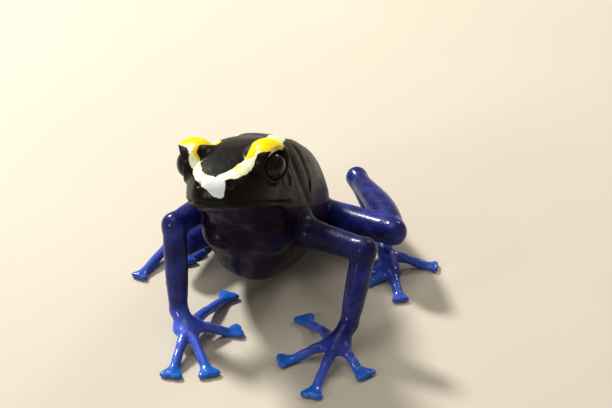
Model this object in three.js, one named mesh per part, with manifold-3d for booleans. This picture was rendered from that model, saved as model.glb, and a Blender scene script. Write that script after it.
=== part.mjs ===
// A poison dart frog, life size, sitting with its forequarters raised on straight arms.
// Millimetres, +Z up. The frog faces -Y and a little to -X, and the floor is z = 0.
// Left and right are the frog's own: its left side lies towards +X.

import * as THREE from 'three';
import { mergeVertices } from 'three/addons/utils/BufferGeometryUtils.js';
import Module from 'manifold-3d';

const wasm = await Module();
wasm.setup();

const at = (x, y, z) => new THREE.Vector3(x, y, z);
const UP = at(0, 0, 1);
const SIDES = { l: 1, r: -1 };

// Clearances and mesh fineness
const GAP = 0.3;
const BLOCK = 120;
const LIMB_SIDES = 12;
const DIGIT_SIDES = 8;
const LIMB_STEPS = 9;
const DIGIT_STEPS = 9;
const CAP_RINGS = 2;
const HEAD_STEPS = 22;
const TRUNK_STEPS = 18;
const TRUNK_SIDES = 26;

// The head: its middle between the eyes, how it is turned, and its stations from nape to snout.
// A station is [forward, half width, top, mouth level, chin], all from the middle of the head.
const HEAD_MIDDLE = at(-3.7, 4.0, 21.2);
const HEAD_YAW = 17;
const HEAD_PITCH = 27;
const HEAD_ROLL = 7.5;
const HEAD_STATIONS = [
  [-10.8, 2.6, -0.2, -3.4, -5.0],
  [-8.8, 4.5, 2.2, -3.9, -6.1],
  [-6.6, 5.1, 3.0, -4.2, -6.4],
  [-4.2, 5.35, 3.0, -4.3, -6.1],
  [-2.0, 5.4, 2.6, -4.25, -5.8],
  [0.0, 5.2, 2.1, -4.2, -5.6],
  [2.0, 4.75, 1.35, -4.1, -5.4],
  [4.0, 4.0, 0.3, -4.05, -5.2],
  [5.2, 3.35, -0.45, -4.0, -5.0],
];
const SNOUT_TIP = [7.05, -3.7];
const SNOUT_POWER = 2.2;
const HEAD_UPPER_POWER = 3.0;
const HEAD_LOWER_POWER = 2.3;
const MOUTH_GROOVE = 0.28;
const MOUTH_CORNER = -4.6;

// Eyes, lids, nostrils and eardrums, in the head's own directions
const EYE_RADIUS = 1.95;
const EYE_PLACE = at(0.1, 4.4, 0.1);
const EYE_GAZE = at(0.36, 0.92, -0.08);
const LID_THICKNESS = 0.5;
const LID_LIFT = 0.35;
const LID_STRETCH = at(1.2, 0.94, 0.99);
const LID_OPENING_LONG = 1.8;
const LID_OPENING_HIGH = 1.3;
const NOSTRIL_PLACE = at(6.3, 1.75, -2.05);
const NOSTRIL_RADIUS = 0.36;
const EARDRUM_PLACE = at(-3.9, 5.12, -1.6);
const EARDRUM_SIZE = at(1.15, 0.5, 1.15);

// The trunk: stations along its midline from under the head to the vent.
// A station is [back, height, half width, half height above, half height below].
const TRUNK_START = at(-1.1, 9.5, 0);
const TRUNK_YAW = 11;
const TRUNK_STATIONS = [
  [-7.6, 16.4, 3.4, 3.0, 2.8],
  [-5.4, 15.8, 4.9, 5.2, 5.0],
  [-2.4, 14.4, 5.9, 7.0, 7.2],
  [0.8, 12.7, 6.7, 7.8, 9.2],
  [4.0, 11.0, 7.1, 7.8, 9.4],
  [7.6, 9.5, 7.2, 7.1, 8.3],
  [11.4, 8.3, 6.7, 6.1, 6.3],
  [15.0, 7.3, 5.6, 5.0, 4.9],
  [18.2, 6.3, 4.3, 3.9, 3.8],
  [20.8, 5.4, 3.1, 2.8, 2.7],
  [22.4, 4.9, 2.0, 1.8, 1.7],
];
const TRUNK_UPPER_POWER = 3.2;
const TRUNK_LOWER_POWER = 2.25;
const TRUNK_TAPER = 0.26;

// The breast bulges a little on each side, at [back, left, height] from the start of the trunk
const BREAST_PLACE = [-4.9, 2.6, 11.5];
const BREAST_SIZE = at(2.6, 2.8, 1.9);
const NECK_CUT_FORWARD = -5.9;

// The skeleton of each side: where every joint lies
const LIMBS = {
  l: {
    shoulder: at(4.6, 6.6, 10.6),
    elbow: at(11.6, 1.0, 11.6),
    wrist: at(9.9, -2.0, 3.5),
    palm: at(8.4, -4.0, 1.95),
    hip: at(5.0, 23.4, 3.4),
    knee: at(15.3, 12.7, 6.9),
    heel: at(11.2, 28.2, 5.3),
    instep: at(14.1, 20.0, 2.1),
    ball: at(15.2, 12.6, 1.15),
  },
  r: {
    shoulder: at(-5.2, 10.2, 13.2),
    elbow: at(-10.4, 3.9, 13.2),
    wrist: at(-10.0, 1.0, 3.4),
    palm: at(-8.9, -0.6, 1.95),
    hip: at(-1.0, 25.0, 3.8),
    knee: at(-9.6, 14.6, 4.2),
    heel: at(-3.4, 29.4, 4.6),
    instep: at(-8.4, 24.6, 2.1),
    ball: at(-10.9, 20.6, 1.15),
  },
};

// Tips of the digits on the floor, from the innermost digit outwards
const FINGER_TIPS = {
  l: [[4.5, 4.2], [1.7, -5.3], [5.4, -12.5], [12.0, -8.4]],
  r: [[-4.2, 9.2], [-2.7, 1.2], [-6.1, -8.3], [-10.7, -8.5]],
};
const TOE_TIPS = {
  l: [[12.4, 16.4], [11.4, 14.0], [11.9, 11.6], [16.2, 7.6], [20.8, 15.2]],
  r: [[-7.2, 19.6], [-8.0, 17.8], [-9.2, 16.0], [-11.0, 11.2], [-15.4, 12.8]],
};

// Where each toe leaves the foot, as a share of the way from instep to ball
const TOE_ROOTS = [0.8, 0.92, 1, 1, 0.55];

// Half thicknesses
const SHOULDER_RADIUS = 2.0;
const UPPER_ARM_RADIUS = 1.5;
const ELBOW_RADIUS = 1.35;
const FOREARM_RADIUS = 1.4;
const WRIST_RADIUS = 1.02;
const HIP_RADIUS = 2.4;
const THIGH_RADIUS = 1.95;
const KNEE_RADIUS = 1.5;
const CALF_RADIUS = 1.62;
const CALF_BOW = 0.5;
const HEEL_RADIUS = 1.2;
const TARSUS_RADIUS = 1.05;
const INSTEP_RADIUS = 1.0;
const BALL_WIDTH = 1.4;
const BALL_HEIGHT = 0.95;
const PALM_SIZE = at(1.8, 2.1, 0.92);
const DIGIT_RADIUS = 0.56;
const DIGIT_ROOT_RADIUS = 0.68;
const PAD_HALF_WIDTH = 1.42;
const PAD_NECK_HALF_WIDTH = 0.6;
const PAD_LENGTH = 1.3;
const PAD_HALF_THICKNESS = 0.42;
const PAD_HEIGHT = 0.38;
const TOE_PAD_SHARE = 0.78;
const KNUCKLE_SHARE = 0.36;

const COLOURS = {
  black: { color: 0x17110e, roughness: 0.35, metalness: 0 },
  throat: { color: 0x1a1424, roughness: 0.4, metalness: 0 },
  navy: { color: 0x23296b, roughness: 0.4, metalness: 0 },
  azure: { color: 0x2f52b0, roughness: 0.35, metalness: 0 },
  eye: { color: 0x0c0706, roughness: 0.08, metalness: 0 },
};

// Solids

function solidOf(geometry) {
  const bare = geometry.clone();
  bare.deleteAttribute('normal');
  bare.deleteAttribute('uv');
  const merged = mergeVertices(bare, 1e-5);
  return new wasm.Manifold(new wasm.Mesh({
    numProp: 3,
    vertProperties: new Float32Array(merged.attributes.position.array),
    triVerts: new Uint32Array(merged.index.array),
  }));
}

function geometryOf(solid) {
  const mesh = solid.getMesh();
  const geometry = new THREE.BufferGeometry();
  geometry.setAttribute('position', new THREE.BufferAttribute(new Float32Array(mesh.vertProperties), 3));
  geometry.setIndex(new THREE.BufferAttribute(new Uint32Array(mesh.triVerts), 1));
  return geometry;
}

function largest(solid) {
  const pieces = solid.decompose();
  return pieces.reduce((best, piece) => (piece.volume() > best.volume() ? piece : best));
}

// The block on the side of a plane that its normal points to
function beyond(point, normal) {
  const block = new THREE.BoxGeometry(BLOCK, BLOCK, BLOCK);
  block.translate(0, 0, BLOCK / 2);
  block.applyQuaternion(new THREE.Quaternion().setFromUnitVectors(UP, normal.clone().normalize()));
  block.translate(point.x, point.y, point.z);
  return solidOf(block);
}

// A closed skin over a row of rings that all have the same number of points
function loft(rings) {
  const count = rings[0].length;
  const points = rings.flat();
  const faces = [];
  for (let row = 0; row < rings.length - 1; row += 1) {
    for (let column = 0; column < count; column += 1) {
      const a = row * count + column;
      const b = row * count + (column + 1) % count;
      faces.push(a, b, b + count, a, b + count, a + count);
    }
  }
  for (const [ring, start, turned] of [[rings[0], 0, true], [rings.at(-1), points.length - count, false]]) {
    const middle = ring.reduce((sum, point) => sum.add(point), at(0, 0, 0)).divideScalar(count);
    const centre = points.push(middle) - 1;
    for (let column = 0; column < count; column += 1) {
      const a = start + column;
      const b = start + (column + 1) % count;
      faces.push(centre, turned ? b : a, turned ? a : b);
    }
  }
  const volume = faces.reduce((sum, corner, index) => (index % 3 ? sum
    : sum + points[corner].clone().cross(points[faces[index + 1]]).dot(points[faces[index + 2]])), 0);
  const geometry = new THREE.BufferGeometry().setFromPoints(points);
  geometry.setIndex(volume > 0 ? faces : faces.reverse());
  return geometry;
}

// A smooth value between entries of a row, for a share from 0 to 1 along it
function between(row, share) {
  const place = share * (row.length - 1);
  const index = Math.min(Math.floor(place), row.length - 2);
  const t = place - index;
  const b = row[index];
  const c = row[index + 1];
  const a = row[index - 1] ?? 2 * b - c;
  const d = row[index + 2] ?? 2 * c - b;
  return b + 0.5 * t * (c - a + t * (2 * a - 5 * b + 4 * c - d + t * (3 * (b - c) + d - a)));
}

// A ring with its own half width and half heights; power 2 is an ellipse, more is squarer.
// A taper narrows it towards its top.
function ring(centre, side, up, width, above, below, sides, { powerAbove = 2, powerBelow = 2, taper = 0 } = {}) {
  return Array.from({ length: sides }, (_, index) => {
    const angle = (2 * Math.PI * (index + 0.5)) / sides;
    const power = Math.sin(angle) > 0 ? powerAbove : powerBelow;
    const across = Math.sign(Math.cos(angle)) * Math.abs(Math.cos(angle)) ** (2 / power);
    const along = Math.sign(Math.sin(angle)) * Math.abs(Math.sin(angle)) ** (2 / power);
    return centre.clone()
      .addScaledVector(side, width * across * (1 - taper * Math.max(along, 0)))
      .addScaledVector(up, (along > 0 ? above : below) * along);
  });
}

// A limb or digit: an oval section along a curve, with round ends that reach past its first and last point
function sweep(points, widths, heights, { sides, steps, grow = 0, hint = UP, blunt = 1 }) {
  const curve = new THREE.CatmullRomCurve3(points, false, 'centripetal');
  const rings = [];
  const addRing = (share, past, shrink) => {
    const tangent = curve.getTangent(share);
    const side = tangent.clone().cross(hint).normalize();
    const up = side.clone().cross(tangent).normalize();
    const width = (between(widths, share) + grow) * shrink;
    const height = (between(heights, share) + grow) * shrink;
    const centre = curve.getPoint(share).addScaledVector(tangent, past);
    rings.push(ring(centre, side, up, width, height, height, sides));
  };
  const domed = (share, sign) => {
    const reach = ((sign < 0 ? heights[0] : heights.at(-1)) + grow) * blunt;
    for (let index = 0; index < CAP_RINGS; index += 1) {
      const step = sign < 0 ? CAP_RINGS - index : index + 1;
      const angle = (Math.PI / 2) * (step / (CAP_RINGS + 0.5));
      addRing(share, sign * reach * Math.sin(angle), Math.cos(angle));
    }
  };
  domed(0, -1);
  for (let step = 0; step <= steps; step += 1) {
    addRing(step / steps, 0, 1);
  }
  domed(1, 1);
  return solidOf(loft(rings));
}

function ball(centre, size, turn, longSides = 20, rows = 12) {
  const geometry = new THREE.SphereGeometry(1, longSides, rows);
  geometry.scale(size.x, size.y, size.z);
  geometry.applyQuaternion(turn);
  geometry.translate(centre.x, centre.y, centre.z);
  return solidOf(geometry);
}

// The head

const headTurn = new THREE.Matrix4().makeRotationZ(-THREE.MathUtils.degToRad(HEAD_YAW))
  .multiply(new THREE.Matrix4().makeRotationX(-THREE.MathUtils.degToRad(HEAD_PITCH)))
  .multiply(new THREE.Matrix4().makeRotationY(-THREE.MathUtils.degToRad(HEAD_ROLL)));
const headForward = at(0, -1, 0).transformDirection(headTurn);
const headLeft = at(1, 0, 0).transformDirection(headTurn);
const headUp = at(0, 0, 1).transformDirection(headTurn);
const headBasis = new THREE.Quaternion().setFromRotationMatrix(
  new THREE.Matrix4().makeBasis(headForward, headLeft, headUp));

function headPoint(place, sideSign = 1) {
  return HEAD_MIDDLE.clone()
    .addScaledVector(headForward, place.x)
    .addScaledVector(headLeft, place.y * sideSign)
    .addScaledVector(headUp, place.z);
}

// Rows of a head ring: close together at the mouth, so that the groove between the lips is fine
const HEAD_ANGLES = [1.5, 8, 19, 33, 48, 64, 82].map(THREE.MathUtils.degToRad);
const JAW_ANGLES = [-1.5, -9, -26, -50, -78].map(THREE.MathUtils.degToRad);

function headRing(forward, width, top, mouth, chin) {
  const groove = forward > MOUTH_CORNER ? MOUTH_GROOVE : 0;
  const half = [...JAW_ANGLES].reverse().concat(HEAD_ANGLES).map((angle) => {
    const power = angle > 0 ? HEAD_UPPER_POWER : HEAD_LOWER_POWER;
    const across = Math.cos(angle) ** (2 / power);
    const along = Math.sign(angle) * Math.abs(Math.sin(angle)) ** (2 / power);
    const height = mouth + along * (angle > 0 ? top - mouth : mouth - chin);
    return [Math.max(width * across, 0.1), height];
  });
  const lip = JAW_ANGLES.length;
  half.splice(lip, 0, [Math.max(width - groove, 0.1), mouth]);
  const left = half.map(([side, height]) => headPoint(at(forward, side, height)));
  const right = half.map(([side, height]) => headPoint(at(forward, -side, height))).reverse();
  return left.concat(right);
}

function headBlank(grow = 0) {
  const columns = HEAD_STATIONS[0].map((_, index) => HEAD_STATIONS.map((station) => station[index]));
  const rings = [];
  for (let step = 0; step <= HEAD_STEPS; step += 1) {
    const [forward, width, top, mouth, chin] = columns.map((column) => between(column, step / HEAD_STEPS));
    rings.push(headRing(forward, width + grow, top + grow, mouth, chin - grow));
  }
  const [tip, tipHeight] = SNOUT_TIP;
  const [start, width, top, mouth, chin] = columns.map((column) => column.at(-1));
  const [, widthSlope, topSlope, mouthSlope, chinSlope] = columns
    .map((column) => (column.at(-1) - column.at(-2)) / (columns[0].at(-1) - columns[0].at(-2)));
  for (const share of [0.35, 0.65, 0.86, 0.97]) {
    const shrink = (1 - share ** SNOUT_POWER) ** (1 / SNOUT_POWER);
    const past = (tip + grow - start) * share;
    const close = (value, slope) => tipHeight + (value - tipHeight) * shrink + slope * past * (1 - share);
    rings.push(headRing(start + past, (width + grow) * shrink + widthSlope * past * (1 - share),
      close(top + grow, topSlope), close(mouth, mouthSlope), close(chin - grow, chinSlope)));
  }
  return solidOf(loft(rings));
}

// The lids of one eye: a ball a little larger than the eye and lifted, which the head takes in
function lidBall(sign) {
  const size = EYE_RADIUS + GAP + LID_THICKNESS;
  const centre = headPoint(EYE_PLACE.clone().add(at(0, -0.1, LID_LIFT)), sign);
  return ball(centre, LID_STRETCH.clone().multiplyScalar(size), headBasis, 24, 14);
}

// The opening between the lids: an oval cone from the middle of the eye outwards
function lidOpening(sign) {
  const reach = 2 * EYE_RADIUS;
  const cone = new THREE.ConeGeometry(reach, reach, 24);
  cone.rotateX(Math.PI);
  cone.translate(0, reach / 2, 0);
  cone.scale(LID_OPENING_LONG, 1, LID_OPENING_HIGH);
  const out = at(EYE_GAZE.x, EYE_GAZE.y * sign, EYE_GAZE.z).applyQuaternion(headBasis).normalize();
  const high = headUp.clone().addScaledVector(out, -headUp.dot(out)).normalize();
  cone.applyMatrix4(new THREE.Matrix4().makeBasis(out.clone().cross(high), out, high));
  const centre = headPoint(EYE_PLACE, sign);
  cone.translate(centre.x, centre.y, centre.z);
  return solidOf(cone);
}

function eyeSolid(sign) {
  const radius = at(EYE_RADIUS, EYE_RADIUS, EYE_RADIUS);
  return ball(headPoint(EYE_PLACE, sign), radius, headBasis);
}

function headSolid() {
  let head = headBlank();
  for (const sign of Object.values(SIDES)) {
    const socket = at(1, 1, 1).multiplyScalar(EYE_RADIUS + GAP);
    const pit = at(1, 1, 1).multiplyScalar(NOSTRIL_RADIUS);
    head = head
      .add(lidBall(sign))
      .add(ball(headPoint(EARDRUM_PLACE, sign), EARDRUM_SIZE, headBasis, 16, 10))
      .subtract(ball(headPoint(EYE_PLACE, sign), socket, headBasis))
      .subtract(lidOpening(sign))
      .subtract(ball(headPoint(NOSTRIL_PLACE, sign), pit, headBasis, 8, 6));
  }
  return head;
}

// The trunk

const trunkYaw = THREE.MathUtils.degToRad(TRUNK_YAW);
const trunkBack = at(Math.sin(trunkYaw), Math.cos(trunkYaw), 0);
const trunkLeft = at(Math.cos(trunkYaw), -Math.sin(trunkYaw), 0);

function trunkSolid(grow = 0) {
  const columns = TRUNK_STATIONS[0].map((_, index) => TRUNK_STATIONS.map((station) => station[index]));
  const centreAt = (share) => TRUNK_START.clone()
    .addScaledVector(trunkBack, between(columns[0], share))
    .setZ(between(columns[1], share));
  const rings = [];
  const addRing = (share, past, shrink) => {
    const ahead = centreAt(Math.min(share + 0.01, 1));
    const tangent = ahead.sub(centreAt(Math.max(share - 0.01, 0))).normalize();
    const up = trunkLeft.clone().cross(tangent).normalize();
    const [width, above, below] = [2, 3, 4].map((index) => (between(columns[index], share) + grow) * shrink);
    const centre = centreAt(share).addScaledVector(tangent, past);
    rings.push(ring(centre, trunkLeft, up, width, above, below, TRUNK_SIDES,
      { powerAbove: TRUNK_UPPER_POWER, powerBelow: TRUNK_LOWER_POWER, taper: TRUNK_TAPER }));
  };
  const capAngles = [70, 40, 18].map(THREE.MathUtils.degToRad);
  const frontReach = columns[3][0] * 0.7 + grow;
  const rearReach = columns[3].at(-1) * 0.7 + grow;
  capAngles.forEach((angle) => addRing(0, -frontReach * Math.sin(angle), Math.cos(angle)));
  for (let step = 0; step <= TRUNK_STEPS; step += 1) {
    addRing(step / TRUNK_STEPS, 0, 1);
  }
  [...capAngles].reverse().forEach((angle) => addRing(1, rearReach * Math.sin(angle), Math.cos(angle)));
  const [back, left, height] = BREAST_PLACE;
  const size = BREAST_SIZE.clone().addScalar(grow);
  return Object.values(SIDES).reduce((trunk, sign) => {
    const centre = TRUNK_START.clone().addScaledVector(trunkBack, back).addScaledVector(trunkLeft, left * sign)
      .setZ(height);
    return trunk.add(ball(centre, size, new THREE.Quaternion(), 18, 12));
  }, solidOf(loft(rings)));
}

// The limbs

// The plane that halves the bend at a joint, as a block on the side of the bone before or after it
function bendSide(before, joint, after, sign) {
  const inward = joint.clone().sub(before).normalize();
  const outward = after.clone().sub(joint).normalize();
  const normal = inward.add(outward).normalize();
  return beyond(joint.clone().addScaledVector(normal, sign * GAP / 2), normal.multiplyScalar(sign));
}

function bulged(start, end, share, side, amount) {
  return start.clone().lerp(end, share).addScaledVector(side, amount);
}

const limbForm = { sides: LIMB_SIDES, steps: LIMB_STEPS, hint: trunkBack };

function upperArm(joint, grow = 0) {
  const radii = [SHOULDER_RADIUS, UPPER_ARM_RADIUS * 1.1, UPPER_ARM_RADIUS, ELBOW_RADIUS];
  const line = [0, 0.35, 0.7, 1].map((share) => joint.shoulder.clone().lerp(joint.elbow, share));
  return sweep(line, radii, radii, { ...limbForm, grow, hint: UP });
}

function forearm(joint) {
  const radii = [ELBOW_RADIUS, FOREARM_RADIUS, FOREARM_RADIUS * 0.92, WRIST_RADIUS];
  const line = [0, 0.3, 0.68, 1].map((share) => joint.elbow.clone().lerp(joint.wrist, share));
  return sweep(line, radii, radii, limbForm);
}

function hand(joint, grow = 0) {
  const size = PALM_SIZE.clone().addScalar(grow);
  const spin = new THREE.Quaternion().setFromAxisAngle(UP, -trunkYaw);
  const radii = [WRIST_RADIUS, WRIST_RADIUS * 1.05, WRIST_RADIUS * 0.95];
  const middle = joint.wrist.clone().lerp(joint.palm, 0.5);
  const stem = sweep([joint.wrist, middle, joint.palm], radii, radii, { ...limbForm, steps: 5, grow });
  return stem.add(ball(joint.palm, size, spin, 16, 10));
}

function thigh(joint) {
  const radii = [HIP_RADIUS, THIGH_RADIUS * 1.06, THIGH_RADIUS, KNEE_RADIUS * 1.15, KNEE_RADIUS];
  const line = [0, 0.25, 0.55, 0.85, 1].map((share) => joint.hip.clone().lerp(joint.knee, share));
  return sweep(line, radii, radii, { ...limbForm, hint: UP });
}

function shank(joint) {
  const radii = [KNEE_RADIUS, CALF_RADIUS, CALF_RADIUS, HEEL_RADIUS, HEEL_RADIUS];
  const outward = at(Math.sign(joint.knee.x), 0, 0);
  const line = [[0, 0], [0.25, 0.9], [0.5, 1], [0.85, 0.3], [1, 0]]
    .map(([share, bow]) => bulged(joint.knee, joint.heel, share, outward, bow * CALF_BOW));
  return sweep(line, radii, radii, { ...limbForm, hint: UP });
}

function tarsus(joint) {
  const radii = [HEEL_RADIUS, TARSUS_RADIUS, TARSUS_RADIUS, INSTEP_RADIUS];
  const line = [0, 0.35, 0.7, 1].map((share) => joint.heel.clone().lerp(joint.instep, share));
  return sweep(line, radii, radii, { ...limbForm, hint: UP });
}

function foot(joint, grow = 0) {
  const widths = [INSTEP_RADIUS, INSTEP_RADIUS * 1.1, BALL_WIDTH];
  const heights = [INSTEP_RADIUS, INSTEP_RADIUS, BALL_HEIGHT];
  const middle = bulged(joint.instep, joint.ball, 0.5, UP, 0.1);
  return sweep([joint.instep, middle, joint.ball], widths, heights,
    { ...limbForm, steps: 7, hint: UP, grow });
}

// A finger or toe: it arches down from its root and ends in a broad, blunt pad on the floor
function digit(root, tip, padShare, grow = 0) {
  const end = at(tip[0], tip[1], PAD_HEIGHT);
  const heading = end.clone().sub(root).setZ(0).normalize();
  const neck = end.clone().addScaledVector(heading, -PAD_LENGTH * padShare * 1.15);
  const knuckle = root.clone().lerp(end, KNUCKLE_SHARE).setZ(root.z * 0.82);
  const shin = knuckle.clone().lerp(neck, 0.55).setZ(PAD_HEIGHT + (root.z - PAD_HEIGHT) * 0.32);
  const padWidth = PAD_HALF_WIDTH * padShare;
  const front = end.clone().addScaledVector(heading, -PAD_LENGTH * padShare * 0.3);
  const line = [root, knuckle, shin, neck, front, end];
  const neckWidth = PAD_NECK_HALF_WIDTH * padShare;
  const widths = [DIGIT_ROOT_RADIUS, DIGIT_RADIUS, DIGIT_RADIUS * 0.96, neckWidth, padWidth * 0.85, padWidth];
  const thick = PAD_HALF_THICKNESS;
  const heights = [DIGIT_ROOT_RADIUS, DIGIT_RADIUS, DIGIT_RADIUS * 0.94, thick * 1.1, thick, thick * 0.9];
  return sweep(line, widths, heights,
    { sides: DIGIT_SIDES, steps: DIGIT_STEPS, hint: UP, grow, blunt: 0.6 });
}

// Cutting the whole into its named pieces

const floorUp = beyond(at(0, 0, 0), UP);
const pieces = new Map();

function keep(name, solid, finish) {
  pieces.set(name, { solid: largest(solid), finish });
}

function buildBody() {
  const whole = headSolid();
  const neck = headPoint(at(NECK_CUT_FORWARD, 0, 0));
  const ahead = beyond(neck.clone().addScaledVector(headForward, -GAP), headForward);
  keep('head', whole.intersect(beyond(neck, headForward)), 'black');
  keep('torso', trunkSolid().add(headBlank()).subtract(headBlank(GAP).intersect(ahead)), 'throat');
  for (const [side, sign] of Object.entries(SIDES)) {
    keep(`eye_${side}`, eyeSolid(sign), 'eye');
  }
}

function buildArm(side, body) {
  const joint = LIMBS[side];
  const palmSide = joint.wrist.clone().sub(joint.elbow).normalize();
  const wristOut = beyond(joint.wrist.clone().addScaledVector(palmSide, GAP / 2), palmSide);
  const wristIn = beyond(joint.wrist.clone().addScaledVector(palmSide, -GAP / 2), palmSide.clone().negate());
  keep(`upper_arm_${side}`, upperArm(joint).subtract(body)
    .intersect(bendSide(joint.shoulder, joint.elbow, joint.wrist, -1)), 'navy');
  keep(`forearm_${side}`, forearm(joint)
    .intersect(bendSide(joint.shoulder, joint.elbow, joint.wrist, 1)).intersect(wristIn), 'navy');
  keep(`hand_${side}`, hand(joint).intersect(wristOut).intersect(floorUp), 'azure');
  const roots = FINGER_TIPS[side].map(() => joint.palm);
  buildDigits(`finger_${side}`, roots, FINGER_TIPS[side], 1, hand(joint, GAP));
}

function buildLeg(side, body) {
  const joint = LIMBS[side];
  const inward = bendSide(joint.knee, joint.heel, joint.instep, -1);
  keep(`thigh_${side}`, thigh(joint).subtract(body).intersect(floorUp)
    .intersect(bendSide(joint.hip, joint.knee, joint.heel, -1)), 'navy');
  keep(`shank_${side}`, shank(joint).subtract(body)
    .intersect(bendSide(joint.hip, joint.knee, joint.heel, 1)).intersect(inward), 'navy');
  keep(`tarsus_${side}`, tarsus(joint).subtract(body)
    .intersect(bendSide(joint.knee, joint.heel, joint.instep, 1))
    .intersect(bendSide(joint.heel, joint.instep, joint.ball, -1)).intersect(floorUp), 'navy');
  keep(`foot_${side}`, foot(joint)
    .intersect(bendSide(joint.heel, joint.instep, joint.ball, 1)).intersect(floorUp), 'navy');
  const roots = TOE_ROOTS.map((share) => joint.instep.clone().lerp(joint.ball, share));
  buildDigits(`toe_${side}`, roots, TOE_TIPS[side], TOE_PAD_SHARE, foot(joint, GAP));
}

// Each digit is cut clear of the palm or foot and of the digits before it
function buildDigits(name, roots, tips, padShare, palm) {
  let taken = palm;
  tips.forEach((tip, index) => {
    const solid = digit(roots[index], tip, padShare).subtract(taken).intersect(floorUp);
    keep(`${name}_${index + 1}`, solid, 'azure');
    taken = taken.add(digit(roots[index], tip, padShare, GAP));
  });
}

buildBody();
const bodyClearance = trunkSolid(GAP).add(headBlank(GAP));
for (const side of Object.keys(SIDES)) {
  buildArm(side, bodyClearance);
  buildLeg(side, bodyClearance);
}

// The model: every piece a mesh of its own, placed by its middle

const model = new THREE.Group();
model.name = 'poison_dart_frog';
for (const [name, { solid, finish }] of pieces) {
  const geometry = geometryOf(solid);
  geometry.computeBoundingBox();
  const middle = geometry.boundingBox.getCenter(new THREE.Vector3());
  geometry.translate(-middle.x, -middle.y, -middle.z);
  geometry.computeVertexNormals();
  const mesh = new THREE.Mesh(geometry, new THREE.MeshStandardMaterial(COLOURS[finish]));
  mesh.name = name;
  mesh.position.copy(middle);
  model.add(mesh);
}

// The origin is at the middle of the footprint, on the floor
const extent = new THREE.Box3().setFromObject(model);
const footprint = extent.getCenter(new THREE.Vector3());
model.position.set(-footprint.x, -footprint.y, -extent.min.z);
model.updateMatrixWorld(true);

export default model;
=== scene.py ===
"""A poison dart frog, life size, sitting up on straight arms.

Sizes are in millimetres in the frog's own frame, in which it faces -Y and the floor is z = 0.
Left and right are the frog's own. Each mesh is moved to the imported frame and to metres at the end.
"""

from __future__ import annotations

import logging
import math
from dataclasses import dataclass, field
from enum import Enum

import bpy
import numpy as np
from mathutils import Matrix, Vector

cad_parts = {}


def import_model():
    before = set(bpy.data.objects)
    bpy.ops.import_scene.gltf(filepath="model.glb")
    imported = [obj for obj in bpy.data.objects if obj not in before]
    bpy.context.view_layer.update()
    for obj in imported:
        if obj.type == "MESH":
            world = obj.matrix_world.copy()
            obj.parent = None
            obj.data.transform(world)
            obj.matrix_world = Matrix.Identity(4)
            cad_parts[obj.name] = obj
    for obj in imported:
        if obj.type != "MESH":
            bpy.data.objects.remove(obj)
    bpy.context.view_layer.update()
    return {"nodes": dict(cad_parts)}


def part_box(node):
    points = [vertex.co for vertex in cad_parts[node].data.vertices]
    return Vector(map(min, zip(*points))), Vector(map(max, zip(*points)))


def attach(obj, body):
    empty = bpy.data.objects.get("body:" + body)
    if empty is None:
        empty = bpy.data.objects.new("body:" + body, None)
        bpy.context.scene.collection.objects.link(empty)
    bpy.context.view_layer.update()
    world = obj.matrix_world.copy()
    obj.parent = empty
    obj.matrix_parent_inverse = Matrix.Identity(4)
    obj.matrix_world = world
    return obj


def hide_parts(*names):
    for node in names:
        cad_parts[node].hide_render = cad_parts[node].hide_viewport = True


LOG = logging.getLogger("frog")
MILLIMETRE = 0.001
BODY = "root"
Array = np.ndarray
Bone = tuple[tuple[float, float], ...]

# The greatest distance that is kept, and numbers that stand in for zero and one in a quotient or root
FAR = 6.0
TINY = 1e-6
NEARLY_ONE = 0.999


class Side(Enum):
    """One side of the frog, with the sign of its sideways direction."""

    LEFT = 1
    RIGHT = -1

    @property
    def letter(self) -> str:
        """The letter that ends the CAD node names of this side."""
        return self.name[0].lower()


# Small sums on arrays


def vec(*values: float) -> Array:
    """A point or direction as an array."""
    return np.array(values, dtype=float)


def unit(vector: Array) -> Array:
    """The same direction with length 1."""
    return vector / np.linalg.norm(vector)


def smooth_min(a: Array, b: Array, blend: Array | float) -> Array:
    """The smaller of two distances, with a fillet.

    Args:
        a: First distance.
        b: Second distance.
        blend: Width of the fillet, one value or one for each point.

    Returns:
        The blended distance.
    """
    near = np.maximum(blend - np.abs(a - b), 0.0) / blend
    return np.minimum(a, b) - near * near * blend * 0.25


def smooth_max(a: Array, b: Array, blend: float) -> Array:
    """The larger of two distances, with a rounded edge."""
    return -smooth_min(-a, -b, blend)


def smooth_step(low: float, high: float, value: Array) -> Array:
    """0 below low, 1 above high, and a soft ramp between them."""
    share = np.clip((value - low) / (high - low), 0.0, 1.0)
    return share * share * (3.0 - 2.0 * share)


def nearness(points: Array, centre: Array, reach: float) -> Array:
    """1 at a centre and 0 well past a reach from it."""
    return np.exp(-np.sum((points - centre) ** 2, axis=-1) / (reach * reach))


def through(rows: Array, count: int) -> Array:
    """A smooth row of values through a few given ones.

    Args:
        rows: The given values, one row for each.
        count: How many rows to make.

    Returns:
        The rows of a Catmull-Rom curve at even shares.
    """
    rows = np.asarray(rows, dtype=float)
    place = np.linspace(0.0, len(rows) - 1.0, count)
    index = np.minimum(place.astype(int), len(rows) - 2)
    t = (place - index)[:, None]
    padded = np.vstack([2 * rows[0] - rows[1], rows, 2 * rows[-1] - rows[-2]])
    a, b, c, d = (padded[index + offset] for offset in range(4))
    return b + 0.5 * t * (c - a + t * (2 * a - 5 * b + 4 * c - d + t * (3 * (b - c) + d - a)))


# Forms that are melted into the clay


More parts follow.
